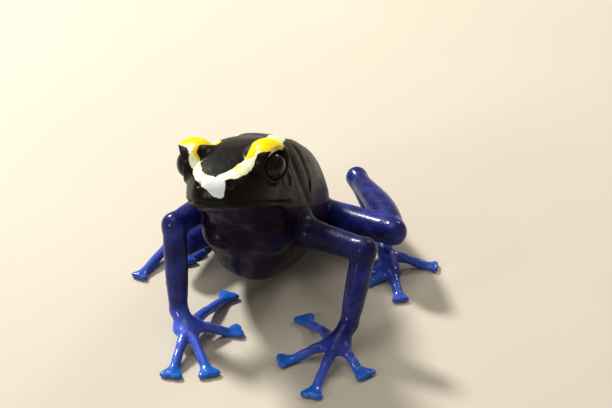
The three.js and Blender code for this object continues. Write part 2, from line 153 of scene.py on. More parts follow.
@dataclass
class Rope:
    """A round or flattened rod along a smooth line, with its own radius at each point.

    Attributes:
        line: Points that it passes through.
        radii: Radius at each of them.
        steps: How many points stand for the curve.
        flat: Direction in which it is thinner, if any.
        flatness: Thickness along flat as a share of the width.
    """

    line: Array
    radii: Array
    steps: int = 16
    flat: Array | None = None
    flatness: float = 1.0

    def bounds(self) -> tuple[Array, Array]:
        """Lowest and highest corner of its points and radii."""
        line, reach = np.asarray(self.line), max(self.radii)
        return line.min(axis=0) - reach, line.max(axis=0) + reach

    def distance(self, points: Array) -> Array:
        """Distance of each point from the surface, negative inside.

        Args:
            points: Places in the frog's own frame.

        Returns:
            The distances.
        """
        rows = through(np.column_stack([self.line, self.radii]), self.steps)
        best = np.full(points.shape[:-1], FAR * 4)
        for start, end in zip(rows[:-1], rows[1:]):
            along = end[:3] - start[:3]
            offset = points - start[:3]
            share = np.clip(offset @ along / max(along @ along, TINY), 0.0, 1.0)
            offset = offset - share[..., None] * along
            square = np.einsum("...i,...i", offset, offset)
            if self.flat is not None:
                lift = offset @ self.flat
                square = square + lift * lift * (1.0 / self.flatness**2 - 1.0)
            best = np.minimum(best, np.sqrt(square) - start[3] - share * (end[3] - start[3]))
        return best


@dataclass
class Egg:
    """An ellipsoid.

    Attributes:
        centre: Its middle.
        radii: Half its length along each of its own directions.
        turn: Rows are its own directions.
    """

    centre: Array
    radii: Array
    turn: Array = field(default_factory=lambda: np.eye(3))

    def bounds(self) -> tuple[Array, Array]:
        """Lowest and highest corner of a box that holds it."""
        reach = np.sqrt(((self.turn * self.radii[:, None]) ** 2).sum(axis=0))
        return self.centre - reach, self.centre + reach

    def distance(self, points: Array) -> Array:
        """Distance of each point from the surface, negative inside.

        Args:
            points: Places in the frog's own frame.

        Returns:
            The distances.
        """
        own = (points - self.centre) @ self.turn.T
        near = np.linalg.norm(own / self.radii, axis=-1)
        slope = np.linalg.norm(own / self.radii**2, axis=-1)
        return near * (near - 1.0) / np.maximum(slope, TINY)


@dataclass
class Fan:
    """The flat, blunt pad at the end of a digit, a little notched in front.

    Attributes:
        tip: Its front on the floor's plane, at the pad's height.
        heading: Where the digit points.
        share: Its size, where a finger's is 1.
        neck: Half width where it leaves the digit.
        flare: Where it starts to widen and where it is widest, ahead of the tip.
        front: How far its round front reaches past the tip.
        back: How far it reaches behind the tip.
        dome: How much thinner it is at its edge.
    """

    tip: Array
    heading: Array
    share: float
    neck: float = 0.4
    half_width: float = 1.5
    flare: tuple[float, float] = (-2.6, 0.2)
    front_radius: float = 3.2
    front: float = 0.22
    back: float = 2.2
    notch: float = 0.18
    notch_width: float = 0.3
    thickness: float = 0.4
    dome: float = 0.12
    dome_width: float = 0.9
    corner: float = 0.4
    heel: float = 0.3
    edge: float = 0.34
    reach: float = 2.6

    def bounds(self) -> tuple[Array, Array]:
        """Lowest and highest corner of a box that holds it."""
        return self.tip - self.reach, self.tip + self.reach

    def distance(self, points: Array) -> Array:
        """Distance of each point from the surface, negative inside.

        Args:
            points: Places in the frog's own frame.

        Returns:
            The distances.
        """
        offset = points - self.tip
        ahead = offset @ self.heading / self.share
        aside = offset @ vec(-self.heading[1], self.heading[0], 0.0) / self.share
        width = self.neck + (self.half_width - self.neck) * smooth_step(*self.flare, ahead)
        middle = self.front - self.front_radius
        notch = self.notch * np.exp(-((aside / self.notch_width) ** 2))
        front = np.hypot(ahead - middle, aside) - self.front_radius + notch
        plan = smooth_max(np.abs(aside) - width, front, self.corner)
        plan = smooth_max(plan, -ahead - self.back, self.heel) * self.share
        thinned = self.dome * smooth_step(-self.dome_width, 0.0, plan)
        return smooth_max(plan, np.abs(offset[..., 2]) - self.thickness + thinned, self.edge)


class Clay:
    """Distances on a grid of points, negative inside, into which forms are melted."""

    def __init__(self, low: Array, high: Array, step: float) -> None:
        """Makes empty clay on a grid whose points are whole steps from the origin.

        Args:
            low: Lowest corner of the grid.
            high: Highest corner.
            step: Distance between its points.
        """
        self.step = step
        self.first = np.floor(low / step).astype(int)
        self.shape = tuple(np.ceil(high / step).astype(int) - self.first + 1)
        self.value = np.full(self.shape, FAR, dtype=np.float32)

    def window(self, low: Array, high: Array) -> tuple[slice, ...]:
        """The slices of the grid that a box covers.

        Args:
            low: Lowest corner of the box.
            high: Highest corner.

        Returns:
            One slice for each direction.
        """
        start = np.clip(np.floor(low / self.step).astype(int) - self.first, 0, self.shape)
        stop = np.clip(np.ceil(high / self.step).astype(int) - self.first + 1, 0, self.shape)
        return tuple(slice(a, b) for a, b in zip(start, stop))

    def points(self, window: tuple[slice, ...]) -> Array:
        """The places of the grid points in a window.

        Args:
            window: One slice for each direction.

        Returns:
            The places in the frog's own frame.
        """
        axes = [
            (np.arange(part.start, part.stop) + self.first[axis]) * self.step
            for axis, part in enumerate(window)
        ]
        return np.stack(np.meshgrid(*axes, indexing="ij"), axis=-1)

    def melt(self, form: Rope | Egg | Fan, blend: float) -> None:
        """Adds a form.

        Args:
            form: What is added.
            blend: Width of its fillet.
        """
        low, high = form.bounds()
        margin = blend + 4 * self.step
        window = self.window(low - margin, high + margin)
        added = form.distance(self.points(window))
        self.value[window] = smooth_min(self.value[window], added, blend)

    def join(self, other: "Clay", centre: Array, reach: float, blends: tuple[float, float]) -> None:
        """Adds other clay of the same step.

        Args:
            other: What is added.
            centre: Where the two grow together.
            reach: How far round the centre they do.
            blends: Width of the fillet at the centre, and far from it.
        """
        start = other.first - self.first
        low, high = np.maximum(start, 0), np.minimum(start + other.shape, self.shape)
        window = tuple(slice(a, b) for a, b in zip(low, high))
        added = other.value[tuple(slice(a, b) for a, b in zip(low - start, high - start))]
        blend = blends[1] + (blends[0] - blends[1]) * nearness(self.points(window), centre, reach)
        self.value[window] = smooth_min(self.value[window], added, blend)

    def sample(self, places: Array) -> Array:
        """The distance at any places, from the eight grid points round each.

        Args:
            places: Places in the frog's own frame.

        Returns:
            The distances.
        """
        spot = places / self.step - self.first
        cell = np.floor(spot).astype(int)
        inside = np.all((cell >= 0) & (cell < np.array(self.shape) - 1), axis=1)
        cell = np.clip(cell, 0, np.array(self.shape) - 2)
        share = np.clip(spot - cell, 0.0, 1.0)
        total = np.zeros(len(places))
        for corner in np.ndindex(2, 2, 2):
            offset = np.array(corner)
            weight = np.prod(np.where(offset, share, 1.0 - share), axis=1)
            total += weight * self.value[tuple((cell + offset).T)]
        return np.where(inside, total, FAR)

    def skin(self) -> tuple[Array, Array]:
        """The surface where the distance is zero.

        Returns:
            Its vertices, and its faces of four corners each.
        """
        inside = self.value < 0.0
        corners = [np.array(corner) for corner in np.ndindex(2, 2, 2)]
        numbers = range(len(corners))
        # Two corners share an edge of the cell where their numbers differ in one bit
        edges = [(a, b) for a in numbers for b in numbers if a < b and (a ^ b) in (1, 2, 4)]
        count = sum(
            inside[tuple(slice(o, s - 1 + o) for o, s in zip(corner, self.shape))].astype(np.uint8)
            for corner in corners
        )
        cells = np.argwhere((count > 0) & (count < len(corners)))
        number = np.full(count.shape, -1, dtype=np.int32)
        number[tuple(cells.T)] = np.arange(len(cells))
        values = np.stack([self.value[tuple((cells + corner).T)] for corner in corners], axis=1)
        total = np.zeros((len(cells), 3))
        hits = np.zeros((len(cells), 1))
        for a, b in edges:
            va, vb = values[:, a], values[:, b]
            crossed = ((va < 0) != (vb < 0))[:, None]
            share = (va / np.where(va == vb, 1.0, va - vb))[:, None]
            place = corners[a] + share * (corners[b] - corners[a])
            total += np.where(crossed, place, 0.0)
            hits += crossed
        vertices = (cells + self.first + total / hits) * self.step
        return vertices, np.concatenate([self.faces(inside, number, axis) for axis in range(3)])

    @staticmethod
    def faces(inside: Array, number: Array, axis: int) -> Array:
        """The faces that cross the grid edges along one axis.

        Args:
            inside: Which grid points lie inside.
            number: The vertex of each cell, or -1.
            axis: Along which direction of the grid the edges run.

        Returns:
            Faces of four corners each, as vertex numbers.
        """
        ahead, behind = [slice(None)] * 3, [slice(None)] * 3
        ahead[axis], behind[axis] = slice(1, None), slice(None, -1)
        change = inside[tuple(ahead)] != inside[tuple(behind)]
        for other in range(3):
            if other != axis:
                edge = [slice(None)] * 3
                edge[other] = slice(0, 1)
                change[tuple(edge)] = False
                edge[other] = slice(-1, None)
                change[tuple(edge)] = False
        cell = np.argwhere(change)
        u, v = np.eye(3, dtype=int)[(axis + 1) % 3], np.eye(3, dtype=int)[(axis + 2) % 3]
        ring = [number[tuple((cell - offset).T)] for offset in (0 * u, u, u + v, v)]
        faces = np.stack(ring, axis=1)
        outward = inside[tuple(cell.T)]
        return np.where(outward[:, None], faces, faces[:, ::-1])


# The forms of the head and the trunk


@dataclass
class HeadForm:
    """The head in its own directions: forward, left and up from its middle.

    Attributes:
        middle: Where its middle is.
        yaw: Turn to the frog's right, in degrees.
        pitch: Snout up, in degrees.
        roll: Left side up, in degrees.
        stations: Forward, half width, top, mouth level and chin, from nape to snout.
        tip: Forward and height of the snout's tip.
        tip_power: How blunt the snout is.
        upper_power: How square a section is above the mouth.
        lower_power: How square it is below.
        mouth_fade: Where the mouth line fades in, ahead of its corner.
        nostril_rim: Height of the rim of a nostril, and its width as a share of the nostril's.
        eardrum_squash: How little a place off the eardrum's level counts.
        rows: How many stations the table has between the given ones.
        cap_rows: How many more it has at the snout.
    """

    middle: Array = field(default_factory=lambda: vec(-3.7, 4.0, 21.2))
    yaw: float = 17.0
    pitch: float = 27.0
    roll: float = 7.5
    stations: tuple[tuple[float, ...], ...] = (
        (-10.8, 2.6, -0.2, -3.4, -5.0),
        (-8.8, 4.5, 2.2, -3.9, -6.1),
        (-6.6, 5.1, 3.0, -4.2, -6.4),
        (-4.2, 5.35, 3.0, -4.3, -6.1),
        (-2.0, 5.4, 2.6, -4.25, -5.8),
        (0.0, 5.2, 2.1, -4.2, -5.6),
        (2.0, 4.75, 1.35, -4.1, -5.4),
        (4.0, 4.0, 0.3, -4.05, -5.2),
        (5.2, 3.35, -0.45, -4.0, -5.0),
    )
    tip: tuple[float, float] = (7.05, -3.7)
    tip_power: float = 2.2
    upper_power: float = 3.0
    lower_power: float = 2.3
    mouth_corner: float = -4.6
    mouth_fade: tuple[float, float] = (-0.3, 0.8)
    mouth_depth: float = 0.3
    mouth_width: float = 0.17
    nostril: Array = field(default_factory=lambda: vec(6.3, 1.75, -2.05))
    nostril_radius: float = 0.34
    nostril_depth: float = 0.75
    nostril_rim: tuple[float, float] = (0.12, 2.4)
    eardrum: Array = field(default_factory=lambda: vec(-3.9, 5.3, -1.6))
    eardrum_radius: float = 1.15
    eardrum_flat: float = 0.3
    eardrum_edge: float = 0.22
    eardrum_depth: float = 0.1
    eardrum_squash: float = 0.5
    rows: int = 120
    cap_rows: int = 40

    def turn(self) -> Array:
        """Rows are the head's forward, left and up directions."""
        turned = (
            Matrix.Rotation(-math.radians(self.yaw), 3, "Z")
            @ Matrix.Rotation(-math.radians(self.pitch), 3, "X")
            @ Matrix.Rotation(-math.radians(self.roll), 3, "Y")
        )
        return np.array([turned @ Vector(v) for v in ((0, -1, 0), (1, 0, 0), (0, 0, 1))])

    def place(self, forward: float, left: float, up: float) -> Array:
        """A point given in the head's own directions."""
        return self.middle + vec(forward, left, up) @ self.turn()

    def own(self, points: Array) -> Array:
        """Points in the head's own directions."""
        return (points - self.middle) @ self.turn().T

    def table(self) -> Array:
        """Makes closely spaced stations, with the round end of the snout.

        Returns:
            One row for each, in the order of stations.
        """
        rows = through(self.stations, self.rows)
        tip, height = self.tip
        last = rows[-1]
        slope = (last - rows[-2]) / (last[0] - rows[-2, 0])
        share = np.linspace(0.0, NEARLY_ONE, self.cap_rows)[1:, None]
        shrink = (1.0 - share**self.tip_power) ** (1.0 / self.tip_power)
        past = (tip - last[0]) * share
        lean = past * (1.0 - share)
        cap = np.hstack([
            last[0] + past,
            last[1] * shrink + slope[1] * lean,
            height + (last[2:] - height) * shrink + slope[2:] * lean,
        ])
        return np.vstack([rows, cap])

    def mouth(self, forward: Array) -> Array:
        """Height of the mouth line at a place along the head."""
        table = self.table()
        return np.interp(forward, table[:, 0], table[:, 3])

    def distance(self, points: Array) -> Array:
        """Distance of each point from the plain head, negative inside.

        Args:
            points: Places in the frog's own frame.

        Returns:
            The distances.
        """
        table = self.table()
        forward, left, up = np.moveaxis(self.own(points), -1, 0)
        width, top, mouth, chin = (np.interp(forward, table[:, 0], table[:, i]) for i in range(1, 5))
        across = np.abs(left) / width
        height = up - mouth
        above = height > 0
        power = np.where(above, self.upper_power, self.lower_power)
        along = np.abs(height) / np.where(above, top - mouth, mouth - chin)
        scale = (across**power + along**power) ** (1.0 / power)
        radius = np.hypot(left, height)
        inner = radius - radius / np.maximum(scale, TINY)
        ends = np.maximum(forward - self.tip[0], self.stations[0][0] - forward)
        return np.clip(np.maximum(inner, ends), -FAR, FAR)


@dataclass
class TrunkForm:
    """The trunk from under the head to the vent.

    Attributes:
        start: Where its first measure begins.
        yaw: Turn of its midline, in degrees.
        stations: Back, height, half width, half height above and below, along the midline.
        taper: How much narrower a section is at its top.
        overhang: How far the round ends reach past the first and the last station.
        rounding: How far inside those stations they begin.
    """

    start: Array = field(default_factory=lambda: vec(-1.1, 9.5, 0.0))
    yaw: float = 11.0
    stations: tuple[tuple[float, ...], ...] = (
        (-7.6, 16.4, 3.4, 3.0, 2.8),
        (-5.4, 15.8, 4.9, 5.2, 5.0),
        (-2.4, 14.4, 5.9, 7.0, 7.2),
        (0.8, 12.7, 6.7, 7.8, 9.2),
        (4.0, 11.0, 7.1, 7.8, 9.4),
        (7.6, 9.5, 7.2, 7.1, 8.3),
        (11.4, 8.3, 6.7, 6.1, 6.3),
        (15.0, 7.3, 5.6, 5.0, 4.9),
        (18.2, 6.3, 4.3, 3.9, 3.8),
        (20.8, 5.4, 3.1, 2.8, 2.7),
        (22.4, 4.9, 2.0, 1.8, 1.7),
    )
    upper_power: float = 3.2
    lower_power: float = 2.25
    taper: float = 0.26
    overhang: tuple[float, float] = (1.6, 1.2)
    rounding: tuple[float, float] = (1.5, 1.0)
    rows: int = 160
    sections: int = 200

    def axes(self) -> tuple[Array, Array]:
        """Its backward and left directions."""
        turn = math.radians(self.yaw)
        return vec(math.sin(turn), math.cos(turn), 0.0), vec(math.cos(turn), -math.sin(turn), 0.0)

    def table(self) -> Array:
        """Measures closely spaced upright sections.

        Returns:
            One row for each, with its back, half width, top, middle and bottom.
        """
        rows = through(self.stations, self.rows)
        slope = np.arctan2(np.gradient(rows[:, 1]), np.gradient(rows[:, 0]))
        upright = np.column_stack([-np.sin(slope), np.cos(slope)])
        top = rows[:, :2] + rows[:, 3:4] * upright
        bottom = rows[:, :2] - rows[:, 4:5] * upright
        first, last = rows[0, 0], rows[-1, 0]
        back = np.linspace(first - self.overhang[0], last + self.overhang[1], self.sections)
        near, far = first + self.rounding[0], last - self.rounding[1]
        width = np.interp(back, rows[:, 0], rows[:, 2])
        middle = np.interp(back, rows[:, 0], rows[:, 1])
        high = np.interp(back, top[:, 0], top[:, 1])
        low = np.interp(back, bottom[:, 0], bottom[:, 1])
        end = np.maximum((back - far) / (back[-1] - far), (near - back) / (near - back[0]))
        shrink = np.sqrt(1.0 - np.clip(end, 0.0, NEARLY_ONE) ** 2)
        high, low = (middle + (height - middle) * shrink for height in (high, low))
        return np.column_stack([back, width * shrink, high, middle, low])

    def midline(self, back: Array) -> Array:
        """Height of the midline at a place along the trunk."""
        return np.interp(back, *np.array(self.stations)[:, :2].T)

    def place(self, back: float, left: float, height: float) -> Array:
        """A point given by how far back, left and high it is."""
        along, aside = self.axes()
        return self.start + along * back + aside * left + vec(0, 0, height)

    def own(self, points: Array) -> tuple[Array, Array, Array]:
        """Back, left and height of points.

        Args:
            points: Places in the frog's own frame.

        Returns:
            One array for each of the three.
        """
        back, left = self.axes()
        offset = points - self.start
        return offset @ back, offset @ left, points[..., 2]

    def distance(self, points: Array) -> Array:
        """Distance of each point from the plain trunk, negative inside.

        Args:
            points: Places in the frog's own frame.

        Returns:
            The distances.
        """
        table = self.table()
        back, left, height = self.own(points)
        width, top, middle, bottom = (np.interp(back, table[:, 0], table[:, i]) for i in range(1, 5))
        rise = height - middle
        along = rise / np.where(rise > 0, top - middle, middle - bottom)
        across = np.abs(left) / (width * (1.0 - self.taper * np.clip(along, 0.0, 1.0)))
        power = np.where(rise > 0, self.upper_power, self.lower_power)
        scale = (across**power + np.abs(along) ** power) ** (1.0 / power)
        radius = np.hypot(left, rise)
        inner = radius - radius / np.maximum(scale, TINY)
        ends = np.maximum(back - table[-1, 0], table[0, 0] - back)
        return np.clip(np.maximum(inner, ends), -FAR, FAR)


@dataclass
class EyeForm:
    """Both eyes and their lids, in the head's own directions.

    Attributes:
        place: Middle of the left eye.
        gaze: Where the left eye looks.
        radius: Of the eyeball.
        lid: Thickness of the lids.
        gap: Between the eyeball and the lids.
        lift: How far the lids' middle lies above the eye's.
        inset: How far it lies towards the midline.
        stretch: Shape of the lids as a share of a ball.
        opening: Length and height of the opening as slopes from the eye's middle.
        opening_power: How square the opening is.
        opening_scale: Turns the opening's measure into a distance.
        opening_edge: Rounding of the lids' edge.
        clearance: Between the eyeball and the skin behind it.
    """

    place: Array = field(default_factory=lambda: vec(0.1, 4.4, 0.1))
    gaze: Array = field(default_factory=lambda: vec(0.36, 0.92, -0.08))
    radius: float = 1.95
    gap: float = 0.3
    lid: float = 0.5
    lift: float = 0.35
    inset: float = 0.1
    stretch: Array = field(default_factory=lambda: vec(1.2, 0.94, 0.99))
    opening: tuple[float, float] = (1.8, 1.3)
    opening_power: float = 1.75
    opening_scale: float = 0.75
    opening_edge: float = 0.22
    clearance: float = 0.05

    def centre(self, head: HeadForm, side: Side) -> Array:
        """Middle of one eye."""
        return head.place(self.place[0], self.place[1] * side.value, self.place[2])

    def look(self, head: HeadForm, side: Side) -> Array:
        """One eye's own directions.

        Args:
            head: The head that it is in.
            side: Which eye.

        Returns:
            Rows that point outwards, lengthwise and up.
        """
        turn = head.turn()
        out = unit((self.gaze * vec(1, side.value, 1)) @ turn)
        high = unit(turn[2] - out * (turn[2] @ out))
        return np.array([out, np.cross(out, high), high])

    def lids(self, head: HeadForm, side: Side) -> Egg:
        """The ball of the lids of one eye.

        Args:
            head: The head that it is in.
            side: Which eye.

        Returns:
            The ball.
        """
        middle = self.place + vec(0.0, -self.inset, self.lift)
        centre = head.place(middle[0], middle[1] * side.value, middle[2])
        return Egg(centre, self.stretch * (self.radius + self.gap + self.lid), head.turn())

    def cut(self, head: HeadForm, side: Side, points: Array) -> Array:
        """Distance of points from the opening between the lids, negative in the opening.

        Args:
            head: The head that the eye is in.
            side: Which eye.
            points: Places in the frog's own frame.

        Returns:
            The distances.
        """
        own = (points - self.centre(head, side)) @ self.look(head, side).T
        out, long, high = np.moveaxis(own, -1, 0)
        power = self.opening_power
        spread = np.abs(long / self.opening[0]) ** power + np.abs(high / self.opening[1]) ** power
        return (spread ** (1.0 / power) - out) * self.opening_scale


# The skeleton of the limbs


@dataclass
class Limbs:
    """The joints and digit tips of one side.

    Attributes:
        arm: Shoulder, elbow, wrist and palm.
        leg: Hip, knee, heel, instep and ball of the foot.
        fingers: Tips of the fingers on the floor, from the innermost outwards.
        toes: Tips of the toes.
    """

    arm: tuple[Array, ...]
    leg: tuple[Array, ...]
    fingers: tuple[tuple[float, float], ...]
    toes: tuple[tuple[float, float], ...]


LIMBS = {
    Side.LEFT: Limbs(
        arm=(vec(4.6, 6.6, 10.6), vec(11.6, 1.0, 11.6), vec(9.9, -2.0, 3.5), vec(8.4, -4.0, 1.95)),
        leg=(
            vec(5.0, 23.4, 3.4), vec(15.3, 12.7, 6.9), vec(11.2, 28.2, 5.3),
            vec(14.1, 20.0, 2.1), vec(15.2, 12.6, 1.15),
        ),
        fingers=((4.5, 4.2), (1.7, -5.3), (5.4, -12.5), (12.0, -8.4)),
        toes=((12.4, 16.4), (11.4, 14.0), (11.9, 11.6), (16.2, 7.6), (20.8, 15.2)),
    ),
    Side.RIGHT: Limbs(
        arm=(vec(-5.2, 10.2, 13.2), vec(-10.4, 3.9, 13.2), vec(-10.0, 1.0, 3.4), vec(-8.9, -0.6, 1.95)),
        leg=(
            vec(-1.0, 25.0, 3.8), vec(-9.6, 14.6, 4.2), vec(-3.4, 29.4, 4.6),
            vec(-8.4, 24.6, 2.1), vec(-10.9, 20.6, 1.15),
        ),
        fingers=((-4.2, 9.2), (-2.7, 1.2), (-6.1, -8.3), (-10.7, -8.5)),
        toes=((-7.2, 19.6), (-8.0, 17.8), (-9.2, 16.0), (-11.0, 11.2), (-15.4, 12.8)),
    ),
}


@dataclass
class LimbForm:
    """Thicknesses of the limbs and digits, and the widths of their fillets.

    A bone has its radius at shares of the way from one joint to the next.

    Attributes:
        sole: The foot between its instep and its ball.
        palm: Half the length, width and thickness of the palm.
        calf_bow: How far the calf bulges outwards.
        calf_curve: Share of that bulge at each of its points.
        pad_height: How high a digit's end lies.
        toe_share: Size of a toe's pad, where a finger's is 1.
        toe_roots: Where the toes leave the foot, as shares of its length.
        knuckle: Where a digit bends down, as a share of its length.
        digit_shape: Thickness along a digit, as shares.
        margins: Room round the bones of an arm and a leg.
        fold_blend: Width of the fillets between two parts that are folded together.
    """

    upper_arm: Bone = ((0.0, 2.0), (0.35, 1.65), (0.7, 1.5), (1.0, 1.35))
    forearm: Bone = ((0.0, 1.35), (0.3, 1.4), (0.68, 1.288), (1.0, 1.02))
    wrist: Bone = ((0.0, 1.02), (0.5, 1.071), (1.0, 0.969))
    thigh: Bone = ((0.0, 2.4), (0.25, 2.067), (0.55, 1.95), (0.85, 1.725), (1.0, 1.5))
    shank: Bone = ((0.0, 1.5), (0.25, 1.62), (0.5, 1.62), (0.85, 1.2), (1.0, 1.2))
    tarsus: Bone = ((0.0, 1.2), (0.35, 1.05), (0.7, 1.05), (1.0, 1.0))
    sole: Bone = ((0.0, 1.0), (0.5, 1.1), (1.0, 1.15))
    palm: Array = field(default_factory=lambda: vec(1.8, 2.1, 0.92))
    calf_bow: float = 0.5
    calf_curve: tuple[float, ...] = (0.0, 0.9, 1.0, 0.3, 0.0)
    digit: float = 0.56
    digit_root: float = 0.78
    pad_length: float = 1.3
    pad_height: float = 0.38
    toe_share: float = 0.78
    toe_roots: tuple[float, ...] = (0.8, 0.92, 1.0, 1.0, 0.55)
    knuckle: float = 0.36
    knuckle_height: float = 0.82
    shin: float = 0.55
    shin_height: float = 0.32
    digit_shape: tuple[float, ...] = (1.0, 1.1, 0.98, 1.06, 0.88, 0.72)
    neck_place: float = 1.15
    end_place: float = 0.4
    margins: tuple[float, float] = (3.6, 4.0)
    short_steps: int = 8
    digit_steps: int = 20
    foot_flatness: float = 0.85
    first_blend: float = 0.3
    elbow_blend: float = 0.7
    wrist_blend: float = 0.5
    palm_blend: float = 0.6
    digit_blend: float = 0.4
    pad_blend: float = 0.3
    knee_blend: float = 0.9
    heel_blend: float = 0.8
    fold_blend: float = 0.22
    knee_reach: float = 2.6
    heel_reach: float = 2.2

    @staticmethod
    def run(start: Array, end: Array, shares: tuple[float, ...]) -> Array:
        """Points at shares of the way from one joint to the next."""
        return np.array([start + (end - start) * share for share in shares])

    def rod(self, start: Array, end: Array, bone: Bone, **shape: object) -> Rope:
        """A bone from one joint to the next, with steps and flatness as a rope has them."""
        shares, radii = zip(*bone)
        return Rope(self.run(start, end, shares), vec(*radii), **shape)

    def arm(self, limbs: Limbs, step: float) -> Clay:
        """Makes the arm, hand and fingers of one side.

        Args:
            limbs: Its joints and digit tips.
            step: Distance between the clay's points.

        Returns:
            Them as clay.
        """
        shoulder, elbow, wrist, palm = limbs.arm
        tips = np.array([(*tip, self.pad_height) for tip in limbs.fingers])
        cloud = np.vstack([limbs.arm, tips])
        clay = Clay(cloud.min(axis=0) - self.margins[0], cloud.max(axis=0) + self.margins[0], step)
        clay.melt(self.rod(shoulder, elbow, self.upper_arm), self.first_blend)
        clay.melt(self.rod(elbow, wrist, self.forearm), self.elbow_blend)
        clay.melt(self.rod(wrist, palm, self.wrist, steps=self.short_steps), self.wrist_blend)
        clay.melt(Egg(palm, self.palm), self.palm_blend)
        for tip in tips:
            self.digit_into(clay, palm, tip, 1.0)
        return clay

    def leg(self, limbs: Limbs, step: float) -> Clay:
        """Makes the leg, foot and toes of one side.

        Args:
            limbs: Its joints and digit tips.
            step: Distance between the clay's points.

        Returns:
            Them as clay.
        """
        hip, knee, heel, instep, ball = limbs.leg
        tips = np.array([(*tip, self.pad_height) for tip in limbs.toes])
        cloud = np.vstack([limbs.leg, tips])
        low, high = cloud.min(axis=0) - self.margins[1], cloud.max(axis=0) + self.margins[1]
        clay = Clay(low, high, step)
        clay.melt(self.rod(hip, knee, self.thigh), self.first_blend)
        shank = Clay(low, high, step)
        calf = self.rod(knee, heel, self.shank)
        calf.line += np.outer(self.calf_curve, vec(math.copysign(self.calf_bow, knee[0]), 0.0, 0.0))
        shank.melt(calf, self.first_blend)
        clay.join(shank, knee, self.knee_reach, (self.knee_blend, self.fold_blend))
        foot = Clay(low, high, step)
        foot.melt(self.rod(heel, instep, self.tarsus), self.first_blend)
        foot.melt(self.rod(instep, ball, self.sole, steps=self.short_steps, flat=vec(0, 0, 1),
                           flatness=self.foot_flatness), self.wrist_blend)
        for tip, root in zip(tips, self.run(instep, ball, self.toe_roots)):
            self.digit_into(foot, root, tip, self.toe_share)
        clay.join(foot, heel, self.heel_reach, (self.heel_blend, self.fold_blend))
        return clay

    def digit_into(self, clay: Clay, root: Array, tip: Array, share: float) -> None:
        """Melts one finger or toe into clay.

        Args:
            clay: What it grows from.
            root: Where it starts.
            tip: Where its pad ends.
            share: Size of its pad, where a finger's is 1.
        """
        heading = unit((tip - root) * vec(1, 1, 0))
        neck, end = (tip - heading * self.pad_length * share * place
                     for place in (self.neck_place, self.end_place))
        knuckle = root + (tip - root) * self.knuckle
        knuckle[2] = root[2] * self.knuckle_height
        shin = knuckle + (neck - knuckle) * self.shin
        shin[2] = self.pad_height + (root[2] - self.pad_height) * self.shin_height
        radii = self.digit * vec(*self.digit_shape)
        radii[0] = self.digit_root
        line = np.array([root, knuckle, (knuckle + shin) / 2, shin, neck, end])
        clay.melt(Rope(line, radii, self.digit_steps), self.digit_blend)
        clay.melt(Fan(tip, heading, share), self.pad_blend)


# Finishes and shared shader effects


@dataclass(frozen=True)
class Shade:
    """A colour in linear light."""

    red: float
    green: float
    blue: float

    def rgba(self) -> tuple[float, float, float, float]:
        """The colour with full cover."""
        return (self.red, self.green, self.blue, 1.0)


@dataclass(frozen=True)
class Mottle:
    """Soft patches.

    Attributes:
        scale: Lumps in each millimetre.
        low: The noise at which a patch begins.
        high: The noise at which it is full.
        detail: How many finer layers the noise has.
        rough: How strong they are.
    """

    scale: float
    low: float
    high: float
    detail: float = 3.0
    rough: float = 0.55


class Nodes:
    """A short way to write the nodes of one material or group."""

    def __init__(self, tree: bpy.types.NodeTree) -> None:
        """Works on one node tree."""
        self.tree = tree

    def add(self, kind: str, settings: dict | None = None, **inputs: object) -> bpy.types.Node:
        """Adds a node.

        Args:
            kind: Its Blender type.
            settings: Values of its properties.
            inputs: Values or sockets for its inputs, by name with _ for a space, or by i and a number.

        Returns:
            The node.
        """
        node = self.tree.nodes.new(kind)
        for name, value in (settings or {}).items():
            setattr(node, name, value)
        self.fill(node, **inputs)
        return node

    def fill(self, node: bpy.types.Node, **inputs: object) -> None:
        """Links a node's inputs or sets their values.

        Args:
            node: The node.
            inputs: Values or sockets, named as in add.
        """
        for name, value in inputs.items():
            numbered = name[0] == "i" and name[1:].isdigit()
            socket = node.inputs[int(name[1:]) if numbered else name.replace("_", " ")]
            if isinstance(value, bpy.types.NodeSocket):
                self.tree.links.new(value, socket)
            else:
                socket.default_value = value.rgba() if isinstance(value, Shade) else value

    def read(self, name: str) -> bpy.types.NodeSocket:
        """The value that the mesh keeps under a name."""
        return self.add("ShaderNodeAttribute", {"attribute_name": name}).outputs["Fac"]

    def place(self) -> bpy.types.NodeSocket:
        """The place on the object, in metres."""
        return self.add("ShaderNodeTexCoord").outputs["Object"]

    def noise(self, scale: float, detail: float = 3.0, rough: float = 0.55) -> bpy.types.NodeSocket:
        """Noise from 0 to 1.

        Args:
            scale: Lumps in each millimetre.
            detail: How many finer layers it has.
            rough: How strong they are.

        Returns:
            Its value socket.
        """
        node = self.add("ShaderNodeTexNoise", Vector=self.place(), Scale=scale / MILLIMETRE,
                        Detail=detail, Roughness=rough)
        return node.outputs["Fac"]

    def mottle(self, patches: Mottle, start: float = 0.0, end: float = 1.0) -> bpy.types.NodeSocket:
        """A value that goes from start between patches to end in them."""
        noise = self.noise(patches.scale, patches.detail, patches.rough)
        return self.ramp(noise, patches.low, patches.high, start, end)

    def math(self, operation: str, a: object, b: object) -> bpy.types.NodeSocket:
        """One sum."""
        return self.add("ShaderNodeMath", {"operation": operation}, i0=a, i1=b).outputs[0]

    def ramp(self, value: bpy.types.NodeSocket, low: float, high: float, start: float = 0.0,
             end: float = 1.0) -> bpy.types.NodeSocket:
        """A soft ramp from start to end as a value goes from low to high."""
        node = self.add("ShaderNodeMapRange", {"interpolation_type": "SMOOTHSTEP"}, Value=value,
                        From_Min=low, From_Max=high, To_Min=start, To_Max=end)
        return node.outputs[0]

    def mix(self, share: object, a: object, b: object) -> bpy.types.NodeSocket:
        """A colour between two."""
        node = self.add("ShaderNodeMix", {"data_type": "RGBA"}, i0=share, i6=a, i7=b)
        return node.outputs[2]


